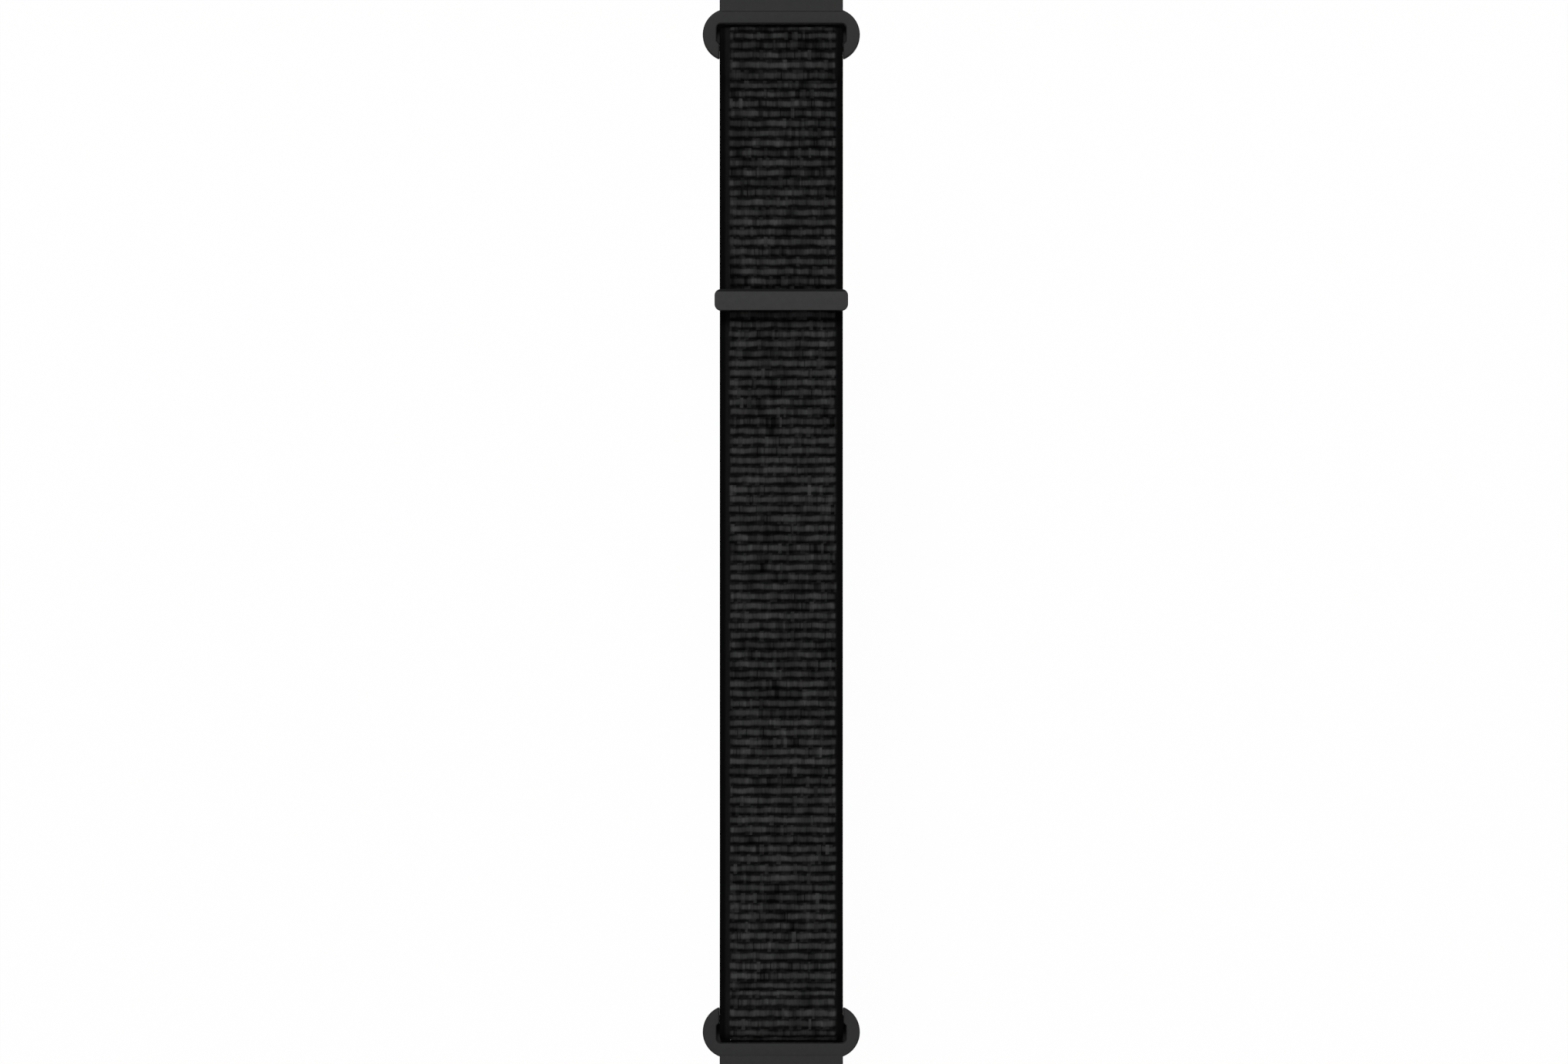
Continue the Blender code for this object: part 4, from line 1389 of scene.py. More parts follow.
        # Painted shade: on the outer face the last ribs also lose their crest colour.
        if side == 0:
            pile_and_groove_shade = np.where(tip, 0.0, pile_and_groove_shade)
            height = np.where(tip, np.minimum(height, self.tip_height), height)
        return height, pile_and_groove_shade, tone_and_shade

    def pressed(self, height: np.ndarray, place: np.ndarray, across: np.ndarray) -> np.ndarray:
        """The flap's outer face where the seam presses it flat.

        Args:
            height: The outer face's heights.
            place: The points' arc lengths.
            across: The points' X.

        Returns:
            The new heights.
        """
        middle = self.layout.ring_to_flex_line - self.layout.flap_margin - self.seam_middle
        along = (self.seam_run - np.abs(place - middle)) / self.seam_fade
        aside = (self.seam_width - np.abs(across)) / self.seam_fade
        share = np.clip(np.minimum(along, aside), 0.0, 1.0)
        floor = self.crest - self.seam_depth
        return np.where(share > 0.0, height + (np.minimum(height, floor) - height) * share, height)

    def stretches(self) -> list[Stretch]:
        """The pieces from the sewn end to the fold round adapter A's bar, and then the tail's.

        Returns:
            What each piece covers, and the joint that it spans.
        """
        lay = self.layout
        inner = range(1, lay.flex_lines)
        bodies = ["sewn_end", *(f"length_{n:02d}" for n in inner), "tail_fold"]
        bodies[lay.flex_lines // 2] = "middle"
        nodes = ["strap_sewn_end", *(f"strap_length_{n:02d}" for n in inner), "strap_tail_fold"]
        half = lay.ribs_per_length // 2
        cuts = [0, *(lay.rib_of_flex_line(n) + half for n in inner), lay.fold_cut]
        reaches = {1: self.first_reach, lay.flex_lines: self.last_reach}
        bars = {1: ("adapter_b_strap_bar",), lay.flex_lines: ("adapter_a_strap_bar",)}
        found = []
        spans = zip(pairwise(cuts), pairwise(bodies), pairwise(nodes))
        for number, (ribs, joined, covered) in enumerate(spans, start=1):
            behind, ahead = reaches.get(number, (self.blend_reach, self.blend_reach))
            blend = (lay.flex_line(number) - behind, lay.flex_line(number) + ahead)
            made = Stretch(f"webbing_{number:02d}", ribs, joined, covered, blend)
            if number in bars:
                made = replace(made, rests_on=bars[number], held="folded")
            found.append(made)
        return found + self.tail_stretches()

    def tail_stretches(self) -> list[Stretch]:
        """The pieces of the tail, from the fold to the tip.

        Returns:
            What each piece covers, and the joint that it spans.
        """
        lay = self.layout
        bodies = ("tail_fold", "tail_0", "tail_1", "tail_2", "tail_3")
        nodes = ("strap_tail_fold", "tail_root", "tail_length_1", "tail_length_2", "tail_tip")
        cuts = (lay.fold_cut, *(lay.tail_rib + ribs for ribs in self.tail_cuts), self.ribs)
        rests = ((), ("hook_pad_root",), ("hook_pad_middle",), ("hook_pad_tip",))
        flex_lines = (lay.flex_line(lay.flex_lines - n) for n in range(len(self.tail_cuts)))
        lines = (lay.ring - lay.peel_line, *flex_lines)
        plain = (self.blend_reach, self.blend_reach)
        reaches = ((self.peel_reach, self.peel_reach), self.last_reach[::-1], plain, plain)
        found = []
        spans = zip(pairwise(cuts), pairwise(bodies), pairwise(nodes))
        for step, (ribs, joined, covered) in enumerate(spans):
            line, (behind, ahead) = lines[step], reaches[step]
            blend = (line + behind, line - ahead)
            found.append(Stretch(f"webbing_tail_{step}", ribs, joined, covered, blend, rests[step]))
        return found

    def sheet_of_cloth(self, name: str, rows: int) -> Piece:
        """A flat closed sheet: a grid extruded in layers, so that its edges can be rounded.

        Args:
            name: The object's name.
            rows: How many rows of faces it has along the strap.

        Returns:
            The sheet, two units wide, long and thick.
        """
        deselect_all()
        size = {"x_subdivisions": self.columns, "y_subdivisions": rows, "size": 2.0}
        bpy.ops.mesh.primitive_grid_add(location=(0.0, 0.0, 1.0), **size)
        made = settle(added(name))
        with editing(made):
            bpy.ops.mesh.select_all(action="SELECT")
            for _ in range(self.layers):
                extrude((0.0, 0.0, -2.0 / self.layers))
            point_outwards()
        return made

    def build(self, stretch: Stretch) -> Piece:
        """Makes one piece of the webbing.

        Args:
            stretch: What it covers.

        Returns:
            The piece, with its UV map and its attributes.
        """
        first, last = stretch.ribs
        rows = (last - first) * self.steps_per_rib
        made = self.sheet_of_cloth(stretch.name, rows)
        mesh = made.data
        raw = np.zeros(len(mesh.vertices) * 3, np.float32)
        mesh.vertices.foreach_get("co", raw)
        raw = raw.reshape(-1, 3).astype(float)
        column = np.rint((raw[:, 0] + 1.0) / 2.0 * self.columns).astype(int)
        row = np.rint((raw[:, 1] + 1.0) / 2.0 * rows).astype(int)
        up, face = raw[:, 2] > 0.0, np.abs(raw[:, 2]) > FACING
        numbers = first + np.arange(rows + 1) / self.steps_per_rib
        places = self.layout.place_of(numbers)
        line = [self.layout.route.at(float(place)) for place in places]
        points, normals = (np.array(part) for part in zip(*line))
        number = numbers[row]
        if last == self.ribs:
            number = np.minimum(number, self.ribs - self.end_margin)
        outer, pile_and_groove_shade, tone_and_shade = self.surface(0, number, column)
        inner, inner_pile, inner_tone = self.surface(1, number, column)
        across = self.columns_x[column]
        outer = self.pressed(outer, places[row], across)
        seal = np.sqrt(np.clip(np.minimum(number, self.ribs - number) / self.sealed_ribs, 0.0, 1.0))
        seal = self.sealed_share + (1.0 - self.sealed_share) * seal
        height = np.where(up, outer, -inner) * np.where(face, 1.0, self.side_share) * seal
        pile_and_groove_shade, tone_and_shade = np.where(up, pile_and_groove_shade, inner_pile), np.where(up, tone_and_shade, inner_tone)
        tuck = np.where(face & (np.abs(across) > self.width / 2 - WELD), self.edge_tuck, 0.0)
        across = across - np.sign(across) * tuck
        spot = points[row] + normals[row] * height[:, None]
        mesh.vertices.foreach_set("co", np.column_stack((across, spot)).astype(np.float32).ravel())
        for word, values in ((self.PILE_AND_SHADE, pile_and_groove_shade), (self.TONE_AND_SHADE, tone_and_shade)):
            mesh.attributes.new(word, "FLOAT", "POINT").data.foreach_set("value", values.astype(np.float32))
        self.map_flat(mesh, across / self.width + 0.5, places[row] / self.layout.total)
        mesh.update()
        return shaded(made, self.smooth_angle)

    def map_flat(self, mesh: bpy.types.Mesh, across: np.ndarray, along: np.ndarray) -> None:
        """Gives a mesh the UV map of the cloth laid flat.

        Args:
            mesh: The mesh.
            across: Each vertex's share of the width.
            along: Each vertex's share of the length.
        """
        flat = mesh.uv_layers.get("UVMap") or mesh.uv_layers.new(name=self.UV_MAP)
        flat.name = self.UV_MAP
        corners = np.zeros(len(mesh.loops), np.int32)
        mesh.loops.foreach_get("vertex_index", corners)
        values = np.column_stack((across[corners], along[corners])).astype(np.float32)
        flat.data.foreach_set("uv", values.ravel())

    def make(self, finishes: Finishes) -> None:
        """Makes and dresses every piece of the webbing, and hides the CAD parts that they replace.

        Args:
            finishes: The materials.
        """
        self.made = [(self.build(stretch), stretch) for stretch in self.stretches()]
        for piece, stretch in self.made:
            finishes.dress(piece, Slot.CLOTH)
            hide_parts(*stretch.nodes)
            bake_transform(piece)

    def declare(self) -> None:
        """Works out the arc lengths at which each piece's part of the strip starts and ends; nothing uses
        them.
        """
        for piece, stretch in self.made:
            start, end = self.layout.place_of(np.array(stretch.ribs, float))


@dataclass
class Seam:
    """The zigzag of two-ply thread that holds the flap, on its underside."""

    layout: Layout
    middle: float = 0.0090
    width: float = 0.0150
    run: float = 0.0026
    stitches: int = 23
    steps: int = 14
    ply_radius: float = 0.000075
    twist_radius: float = 0.00006
    twists_per_stitch: float = 3.5
    low: float = 0.00018
    high: float = 0.00036
    ease: float = 0.05
    sink_shape: float = 0.6
    roundness: int = 2
    smooth_angle: float = 60.0

    def make(self, finishes: Finishes) -> None:
        """Makes and hangs the seam.

        Args:
            finishes: The materials.
        """
        part = np.arange(self.stitches * self.steps + 1) / self.steps
        whole, rest = np.divmod(part, 1.0)
        moved = rest - self.ease * np.sin(FULL_TURN * rest)
        side = np.where(whole % 2 == 0, moved, 1.0 - moved) - 0.5
        across = -self.width / 2 + part / self.stitches * self.width
        along = -self.layout.ring + self.middle + side * self.run
        height = self.high - (self.high - self.low) * np.sin(math.pi * rest) ** self.sink_shape
        line = np.column_stack((across, along, height))
        ahead = np.gradient(line, axis=0)
        ahead /= np.linalg.norm(ahead, axis=1)[:, None]
        beside = np.cross(ahead, (0.0, 0.0, 1.0))
        beside /= np.linalg.norm(beside, axis=1)[:, None]
        upward = np.cross(beside, ahead)
        plies = []
        for start in (0.0, HALF_TURN):
            turn = start + FULL_TURN * part * self.twists_per_stitch
            swing = beside * np.cos(turn)[:, None] + upward * np.sin(turn)[:, None]
            plies.append(line + self.twist_radius * swing)
        piece = tidied(wire("flap_seam", plies, self.ply_radius, self.roundness), self.smooth_angle)
        finishes.dress(piece, Slot.THREAD)
        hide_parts("flap_stitching")
        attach(piece, "sewn_end")


@dataclass
class HookPads:
    """The hook tape on the tail's inner face: a woven tape with rows of small hooks."""

    layout: Layout
    width: float = 0.0170
    start_margin: float = 0.0025
    end_margin: float = 0.0004
    tape_top: float = 0.00247
    tape_bottom: float = 0.00221
    hook_tip: float = 0.00172
    hook_wide: float = 0.00016
    hook_thick: float = 0.00009
    hook_lean: float = 0.00012
    hook_root: float = 0.00004
    hook_taper: Point = (0.9, 0.9, 1.0)
    hook_moves: tuple[Range, ...] = ((0.0, -0.45), (0.25, -0.35), (0.75, -0.12), (0.6, 0.22))
    across_pitch: float = 0.00068
    along_pitch: float = 0.00082
    side_margins: float = 0.0012
    end_margins: float = 0.0008
    edge: float = 0.00008
    blend_reach: float = 0.0055
    corner: float = 0.0012
    corner_steps: int = 6
    smooth_angle: float = 40.0

    def hook(self, name: str, place: Point) -> Piece:
        """One hook, which hangs from the tape and curls at its tip.

        Args:
            name: The object's name.
            place: The middle of its foot.

        Returns:
            The hook.
        """
        low = Vector(place) - Vector((self.hook_wide / 2, self.hook_thick / 2, 0.0))
        high = Vector(place) + Vector((self.hook_wide / 2, self.hook_thick / 2, self.hook_root))
        made = block(name, tuple(low), tuple(high))
        drop = place[2] - self.hook_tip
        with editing(made):
            pick_faces(made, lambda normal: normal.z < -FACING)
            for lean, fall in self.hook_moves:
                extrude((0.0, lean * self.hook_lean, fall * drop), self.hook_taper)
        return made

    def pad(self, name: str, far: float, near: float, ends: tuple[bool, bool]) -> Piece:
        """One length of hook tape.

        Args:
            name: The object's name.
            far: Its lower Y.
            near: Its higher Y.
            ends: Whether its lower and higher ends have round corners.

        Returns:
            The tape with its hooks.
        """
        half = self.width / 2
        corners = tuple(self.corner if is_round else self.edge for is_round in ends)
        outline = rounded_rectangle((-half, far), (half, near), corners, self.corner_steps)
        tape = rounded(slab(name, outline, self.tape_bottom, self.tape_top, Plane.FLAT), self.edge)
        for step in range(1, int((near - far) / self.along_pitch)):
            sliced(tape, (0.0, far + step * self.along_pitch, 0.0), (0.0, 1.0, 0.0))
        columns = int((self.width - self.side_margins) / self.across_pitch)
        rows = int((near - far - self.end_margins) / self.along_pitch)
        left = -(columns - 1) * self.across_pitch / 2
        start = (far + near) / 2 - (rows - 1) * self.along_pitch / 2
        hooks = self.hook(f"{name}_hooks", (left, start, self.tape_bottom))
        offset = {"use_relative_offset": False, "use_constant_offset": True}
        for count, move in ((columns, (self.across_pitch, 0.0, 0.0)), (rows, (0.0, self.along_pitch, 0.0))):
            shaped(hooks, "ARRAY", count=count, constant_offset_displace=move, **offset)
        activate(tape)
        hooks.select_set(True)
        bpy.ops.object.join()
        return tidied(tape, self.smooth_angle)

    def make(self, finishes: Finishes) -> None:
        """Makes the three lengths of tape, and hangs the root's.

        Args:
            finishes: The materials.
        """
        lay = self.layout
        words = ("root", "middle", "tip")
        lines = [lay.flex_line(lay.flex_lines - step) for step in range(len(words))]
        cuts = [lines[0] - self.start_margin, (lines[0] + lines[1]) / 2, (lines[1] + lines[2]) / 2]
        cuts.append(lay.stop[1] + self.end_margin)
        nodes = (("hook_pad_1",), ("hook_pad_1", "hook_pad_2"), ("hook_pad_2", "hook_pad_3"))
        for number, word in enumerate(words):
            ends = (word == "tip", word == "root")
            piece = self.pad(f"hook_pad_{word}", cuts[number + 1], cuts[number], ends)
            finishes.dress(piece, Slot.HOOKS)
            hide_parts(*nodes[number])
            if word == "root":
                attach(piece, "tail_1")
                continue
            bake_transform(piece)


@dataclass
class Stop:
    """The moulded stop on the tail's end, bare, with a blind pocket for the cloth."""

    layout: Layout
    width: float = 0.0236
    bottom: float = 0.0017
    top: float = 0.0051
    corner: float = 0.00115
    edge: float = 0.00015
    edge_steps: int = 4
    edge_angle: float = 35.0
    corner_steps: int = 10
    far_setback: float = 0.00015
    near_setback: float = 0.00055
    slope_run: float = 0.00042
    slope_drop: float = 0.00060
    pocket_half: float = 0.01093
    end_wall: float = 0.0008
    pocket: Range = (0.0024, 0.0042)
    overrun: float = 0.0005

    def make(self, finishes: Finishes) -> None:
        """Makes and hangs the stop.

        Args:
            finishes: The materials.
        """
        far, near = self.layout.stop[0] + self.far_setback, self.layout.stop[1] - self.near_setback
        half, corners = self.width / 2, (self.corner, self.corner)
        outline = rounded_rectangle((-half, far), (half, near), corners, self.corner_steps)
        piece = slab("tail_stop_moulding", outline, self.bottom, self.top, Plane.FLAT)
        # The sloping front takes the stop's dark side colour, a painted shade.
        brink = (0.0, near - self.slope_run, self.top)
        sliced(piece, brink, (0.0, self.slope_drop, self.slope_run), drop=True)
        rounded(piece, self.edge, self.edge_steps, self.edge_angle, clamp=False)
        low = (-self.pocket_half, self.layout.stop[0] + self.end_wall, self.pocket[0])
        cut_away(piece, low, (self.pocket_half, near + self.overrun, self.pocket[1]))
        finishes.dress_stop(tidied(piece))
        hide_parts("tail_stop")
        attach(piece, "tail_3")


@dataclass
class Adapter:
    """One quick-release lug adapter, modelled once round the origin, pointing along +Y."""

    layout: Layout
    ring_width: float = 0.0278
    ear_radius: float = 0.00463
    ring_thickness: float = 0.0032
    ring_edge: float = 0.00030
    ear_steps: int = 20
    ring_edge_steps: int = 5
    slot_steps: int = 10
    slot_half: float = 0.01145
    boss_half: float = 0.01093
    slot_front: float = 0.00195
    slot_back: float = 0.00112
    slot_corner: float = 0.0008
    ledge_half: float = 0.01091
    ledge_front: float = 0.0016
    ledge_corner: Place = (0.0095, 0.00122)
    ledge_nook: Place = (0.01074, 0.00096)
    ledge_slant: float = 0.0006
    ledge_top: float = 0.00125
    ledge_root: float = 0.0005
    ledge_lift: float = 0.00002
    neck_half: float = 0.0107
    ring_into_block: float = 0.0018
    bar_back: float = 0.00213
    bar_hole: float = 0.0009
    bar_blind_end: float = 0.0126
    bar_open_end: float = 0.0131
    bar_chamfer: float = 0.0002
    bar_mark_inset: float = 0.00032
    bar_mark_slope: float = 0.00008
    bar_mark_depth: float = 0.0001
    block_half: float = 0.0109
    block_start: float = 0.00415
    block_step: float = 0.00012
    block_under: float = 0.0010
    block_side_edge: float = 0.00025
    side_steps: int = 4
    arch_steps: int = 44
    seat_steps: int = 24
    lip_round: float = 0.0003
    lip_steps: int = 5
    seat: float = 0.0113
    seat_height: float = 0.0027
    seat_radius: float = 0.00105
    hook_wall: float = 0.0009
    lip: float = 0.0009
    latch_half: float = 0.0069
    latch_back: float = 0.0068
    latch_shoulder: float = 0.0100
    latch_tip: float = 0.0122
    latch_thickness: float = 0.0009
    nose_thickness: float = 0.0006
    nose_chamfer: float = 0.00025
    latch_edge: float = 0.00005
    latch_edge_angle: float = 40.0
    latch_travel: float = 0.0020
    clearance: float = 0.0001
    pocket_back: float = 0.0046
    thumb_half: float = 0.0029
    thumb_start: float = 0.0074
    thumb_length: float = 0.0015
    thumb_low: float = 0.0001
    thumb_grooves: int = 2
    thumb_groove: float = 0.00025
    thumb_groove_depth: float = 0.00015
    notch_depth: float = 0.0012
    spring_side: float = 0.0054
    spring_height: float = 0.0017
    spring_radius: float = 0.0006
    spring_wire: float = 0.0001
    spring_turns: int = 5
    spring_steps: int = 24
    spring_roundness: int = 3
    spring_smooth: float = 50.0
    spring_gap: float = 0.00015
    cover_half: float = 0.0098
    cover: Range = (0.0044, 0.0100)
    cover_levels: Range = (0.0004, 0.0009)
    cover_corner: float = 0.0006
    cover_steps: int = 8
    window_steps: int = 6
    cover_edge: float = 0.00010
    window_clearance: float = 0.0003
    screw_side: float = 0.0084
    screw_place: float = 0.0073
    screw_head: float = 0.0009
    screw_shank: float = 0.0005
    screw_head_height: float = 0.0004
    screw_rim: float = 0.0001
    screw_length: float = 0.0027
    screw_sink: float = 0.00003
    drive_half: float = 0.00055
    drive_narrow: float = 0.0001
    drive_depth: float = 0.0002
    drive_taper: Point = (0.7, 0.7, 1.0)
    overrun: float = 0.0005
    fine_steps: int = 40

    def ring_outline(self) -> list[Place]:
        """The ring from above: its ears, and the slot that is open towards the strap.

        Returns:
            The outline.
        """
        ear = self.ring_width / 2 - self.ear_radius
        first = math.acos((self.neck_half - ear) / self.ear_radius)
        last = -math.acos((self.boss_half - ear) / self.ear_radius)
        half = [(self.neck_half, self.block_start + self.ring_into_block)]
        half += arc((ear, 0.0), self.ear_radius, first, last, self.ear_steps)
        half.append((self.boss_half, -self.slot_back - (self.slot_half - self.boss_half)))
        half.append((self.slot_half, -self.slot_back))
        centre = (self.slot_half - self.slot_corner, self.slot_front - self.slot_corner)
        half += arc(centre, self.slot_corner, 0.0, QUARTER_TURN, self.slot_steps)
        return mirrored(half)

    def ledge_outline(self) -> list[Place]:
        """The ledge along the slot's underside, which the light doesn't pass.

        Returns:
            The outline.
        """
        out, front = self.slot_half + self.ledge_root, self.slot_front + self.ledge_root
        back = -self.slot_back - (self.slot_half - self.boss_half) - self.clearance
        corner, corner_front = self.ledge_corner
        nook, nook_front = self.ledge_nook
        half = [(out, front), (out, back), (self.ledge_half, back), (self.ledge_half, nook_front)]
        half += [(nook, corner_front), (corner, corner_front), (corner - self.ledge_slant, self.ledge_front)]
        return mirrored(half)

    def block_outline(self) -> list[Place]:
        """The lug block from the side: its sloping top, the hook and the half-round seat, open below.

        Returns:
            The outline.
        """
        ring_top = self.layout.bar_height + self.ring_thickness / 2
        outer = self.seat_radius + self.hook_wall
        middle = (self.seat, self.seat_height)
        end = self.seat + self.seat_radius + self.lip
        outline = [(self.block_start, self.block_under), (self.block_start, ring_top + self.block_step)]
        level = self.block_under + self.lip_round
        mouth = self.seat_radius + self.lip_round
        outline += arc(middle, outer, QUARTER_TURN, 0.0, self.arch_steps)
        outline += arc((end - self.lip_round, level), self.lip_round, 0.0, -QUARTER_TURN, self.lip_steps)
        inner = (self.seat + mouth, level)
        outline += arc(inner, self.lip_round, -QUARTER_TURN, -HALF_TURN, self.lip_steps)
        outline += arc(middle, self.seat_radius, 0.0, HALF_TURN, self.seat_steps)
        outline += arc((self.seat - mouth, level), self.lip_round, 0.0, -QUARTER_TURN, self.lip_steps)
        return outline

    def lug_block(self) -> Piece:
        """The lug block, whose side faces are inset step by step so that their edges are round.

        Returns:
            The block.
        """
        radius = self.block_side_edge
        reach = self.block_half - radius
        made = slab("lug_block", self.block_outline(), -reach, reach, Plane.SIDE)
        with editing(made):
            for side in SIDES:
                pick_faces(made, lambda normal: normal.x * side > FACING)
                for step in range(self.side_steps):
                    low = QUARTER_TURN * step / self.side_steps
                    high = QUARTER_TURN * (step + 1) / self.side_steps
                    inward = radius * (math.cos(low) - math.cos(high))
                    bpy.ops.mesh.inset(thickness=inward, depth=radius * (math.sin(high) - math.sin(low)))
        return made

    def screw_hole(self, side: int) -> Piece:
        """The form of a countersunk screw hole on one side, -1 or 1, to cut out."""
        return self.screw_form(f"screw_hole_{side}", side, self.clearance, self.overrun)

    def screw_form(self, name: str, side: int, clearance: float = 0.0, overrun: float = 0.0) -> Piece:
        """A countersunk screw's form, head down, or the form of its hole.

        Args:
            name: The object's name.
            side: The side it is on, -1 or 1.
            clearance: How much wider it is all round.
            overrun: How far its head runs out of the plate.

        Returns:
            The form.
        """
        face = self.cover_levels[0] + self.screw_sink
        shank, head = self.screw_shank + clearance, self.screw_head + clearance
        tip = face + self.screw_length + clearance
        neck, rim = face + self.screw_head_height, face + self.screw_rim
        deselect_all()
        place = (side * self.screw_side, self.screw_place, (tip + neck) / 2)
        size = {"vertices": self.fine_steps, "radius": shank, "depth": tip - neck}
        bpy.ops.mesh.primitive_cylinder_add(location=place, **size)
        made = settle(added(name))
        with editing(made):
            pick_faces(made, lambda normal: normal.z < -FACING)
            extrude((0.0, 0.0, rim - neck), (head / shank, head / shank, 1.0))
            extrude((0.0, 0.0, face - rim - overrun))
        return made

    @property
    def spring_reach(self) -> float:
        """How far the room for a spring reaches from its middle."""
        return self.spring_radius + self.spring_wire + self.clearance

    def cut_at_spring(self, piece: Piece, side: int, low: Place, high: Place) -> None:
        """Cuts a box round a spring out of a piece.

        Args:
            piece: The piece.
            side: The side it is on, -1 or 1.
            low: The box's lowest Y and Z.
            high: Its highest Y and Z.
        """
        place = side * self.spring_side
        cut_away(piece, (place - self.spring_reach, *low), (place + self.spring_reach, *high))

    def body(self) -> Piece:
        """The moulded body: ring, lug block, latch pocket, spring grooves and holes.

        Returns:
            The body.
        """
        middle, half = self.layout.bar_height, self.ring_thickness / 2
        made = slab("body", self.ring_outline(), middle - half, middle + half, Plane.FLAT)
        rounded(made, self.ring_edge, self.ring_edge_steps, clamp=False)
        low = middle - half + self.ledge_lift
        combined(made, slab("slot_ledge", self.ledge_outline(), low, self.ledge_top, Plane.FLAT), Cut.ADD)
        combined(made, self.lug_block(), Cut.ADD)
        left, right = -self.bar_blind_end - self.clearance, self.ring_width / 2 + self.overrun
        place = (-self.bar_back, middle)
        combined(made, rod("bar_hole", self.bar_hole, left, right, place, self.fine_steps))
        half, under = self.latch_half + self.clearance, self.block_under - self.overrun
        top = self.block_under + self.latch_thickness + self.clearance
        front = self.seat - self.seat_radius + self.overrun
        cut_away(made, (-half, self.pocket_back, under), (half, front, top))
        groove_end = self.latch_back + self.notch_depth + self.clearance
        groove_top = self.spring_height + self.spring_reach
        for side in SIDES:
            self.cut_at_spring(made, side, (self.pocket_back, under), (groove_end, groove_top))
            combined(made, self.screw_hole(side))
        return tidied(made)

    def bar(self) -> Piece:
        """The steel bar, with a chamfer and a small centre mark on each end.

        Returns:
            The bar.
        """
        place, radius = (-self.bar_back, self.layout.bar_height), self.layout.bar_radius
        made = rod("bar", radius, -self.bar_blind_end, self.bar_open_end, place, self.fine_steps)
        rounded(made, self.bar_chamfer)
        with editing(made):
            pick_faces(made, lambda normal: abs(normal.x) > FACING)
            bpy.ops.mesh.inset(thickness=self.bar_mark_inset)
            bpy.ops.mesh.inset(thickness=self.bar_mark_slope, depth=-self.bar_mark_depth)
        return tidied(made)

    def latch(self) -> Piece:
        """The sliding latch, with its nose, spring notches and grooved thumb pad.

        Returns:
            The latch.
        """
        under = self.block_under
        top, nose = under + self.latch_thickness, under + self.nose_thickness
        outline = [
            (self.latch_back, under),
            (self.latch_back, top),
            (self.latch_shoulder, top),
            (self.latch_shoulder, nose),
            (self.latch_tip - self.nose_chamfer, nose),
            (self.latch_tip, nose - self.nose_chamfer),
            (self.latch_tip, under),
        ]
        made = slab("latch", outline, -self.latch_half, self.latch_half, Plane.SIDE)
        half, start, length = self.thumb_half, self.thumb_start, self.thumb_length
        high = (half, start + length, under + self.latch_thickness / 2)
        combined(made, block("thumb_pad", (-half, start, self.thumb_low), high), Cut.ADD)
        notch_end = self.latch_back + self.notch_depth
        low = (self.latch_back - self.overrun, under - self.overrun)
        for side in SIDES:
            self.cut_at_spring(made, side, low, (notch_end, top + self.overrun))
        for number in range(self.thumb_grooves):
            middle = start + length * (number + 1) / (self.thumb_grooves + 1)
            back, front = middle - self.thumb_groove / 2, middle + self.thumb_groove / 2
            low = (-half - self.overrun, back, self.thumb_low - self.overrun)
            cut_away(made, low, (half + self.overrun, front, self.thumb_low + self.thumb_groove_depth))
        rounded(made, self.latch_edge, least_angle=self.latch_edge_angle)
        return tidied(made)

    @property
    def spring_ends(self) -> Range:
        """The Y at which the springs start and end."""
        end = self.latch_back + self.notch_depth - self.spring_gap
        return self.pocket_back + self.spring_gap, end

    def spring(self, side: int) -> Piece:
        """One coil spring.

        Args:
            side: The side it is on, -1 or 1.

        Returns:
            The spring.
        """
        start, end = self.spring_ends
        steps = self.spring_turns * self.spring_steps
        part = np.arange(steps + 1) / steps
        turn = FULL_TURN * self.spring_turns * part
        across = side * self.spring_side + self.spring_radius * np.cos(turn)
        height = self.spring_height + self.spring_radius * np.sin(turn)
        line = np.column_stack((across, start + (end - start) * part, height))
        made = wire(f"spring_{side}", [line], self.spring_wire, self.spring_roundness)
        return tidied(made, self.spring_smooth)

    def cover_plate(self) -> Piece:
        """The cover plate, with round corners, its window and its countersunk holes.

        Returns:
            The plate.
        """
        (low, high), (back, front) = self.cover_levels, self.cover
        half, corners = self.cover_half, (self.cover_corner, self.cover_corner)
        outline = rounded_rectangle((-half, back), (half, front), corners, self.cover_steps)
        made = slab("cover", outline, low, high, Plane.FLAT)
        half, start, end = self.thumb_half, self.thumb_start, self.thumb_start + self.thumb_length
        gap = self.window_clearance
        window_low = (-half - gap, start - self.latch_travel - gap)
        window_high = (half + gap, end + gap)
        outline = rounded_rectangle(window_low, window_high, (gap, gap), self.window_steps)
        combined(made, slab("window", outline, low - self.overrun, high + self.overrun, Plane.FLAT))
        rounded(made, self.cover_edge)
        for side in SIDES:
            combined(made, self.screw_hole(side))
        return tidied(made)

    def screw(self, side: int) -> Piece:
        """One countersunk screw with a tapered cross in its head.

        Args:
            side: The side it is on, -1 or 1.

        Returns:
            The screw.
        """
        made = rounded(self.screw_form(f"screw_{side}", side), self.screw_sink)
        long, narrow, deep = self.drive_half, self.drive_narrow, self.drive_depth
        face = self.cover_levels[0] + self.screw_sink
        middle = Vector((side * self.screw_side, self.screw_place, face))
        for wide, high in ((long, narrow), (narrow, long)):
            low = middle - Vector((wide, high, self.overrun))
            tool = block("drive", tuple(low), tuple(middle + Vector((wide, high, deep))))
            with editing(tool):
                pick_faces(tool, lambda normal: normal.z > FACING)
                bpy.ops.transform.resize(value=self.drive_taper)
            combined(made, tool)
        return tidied(made)

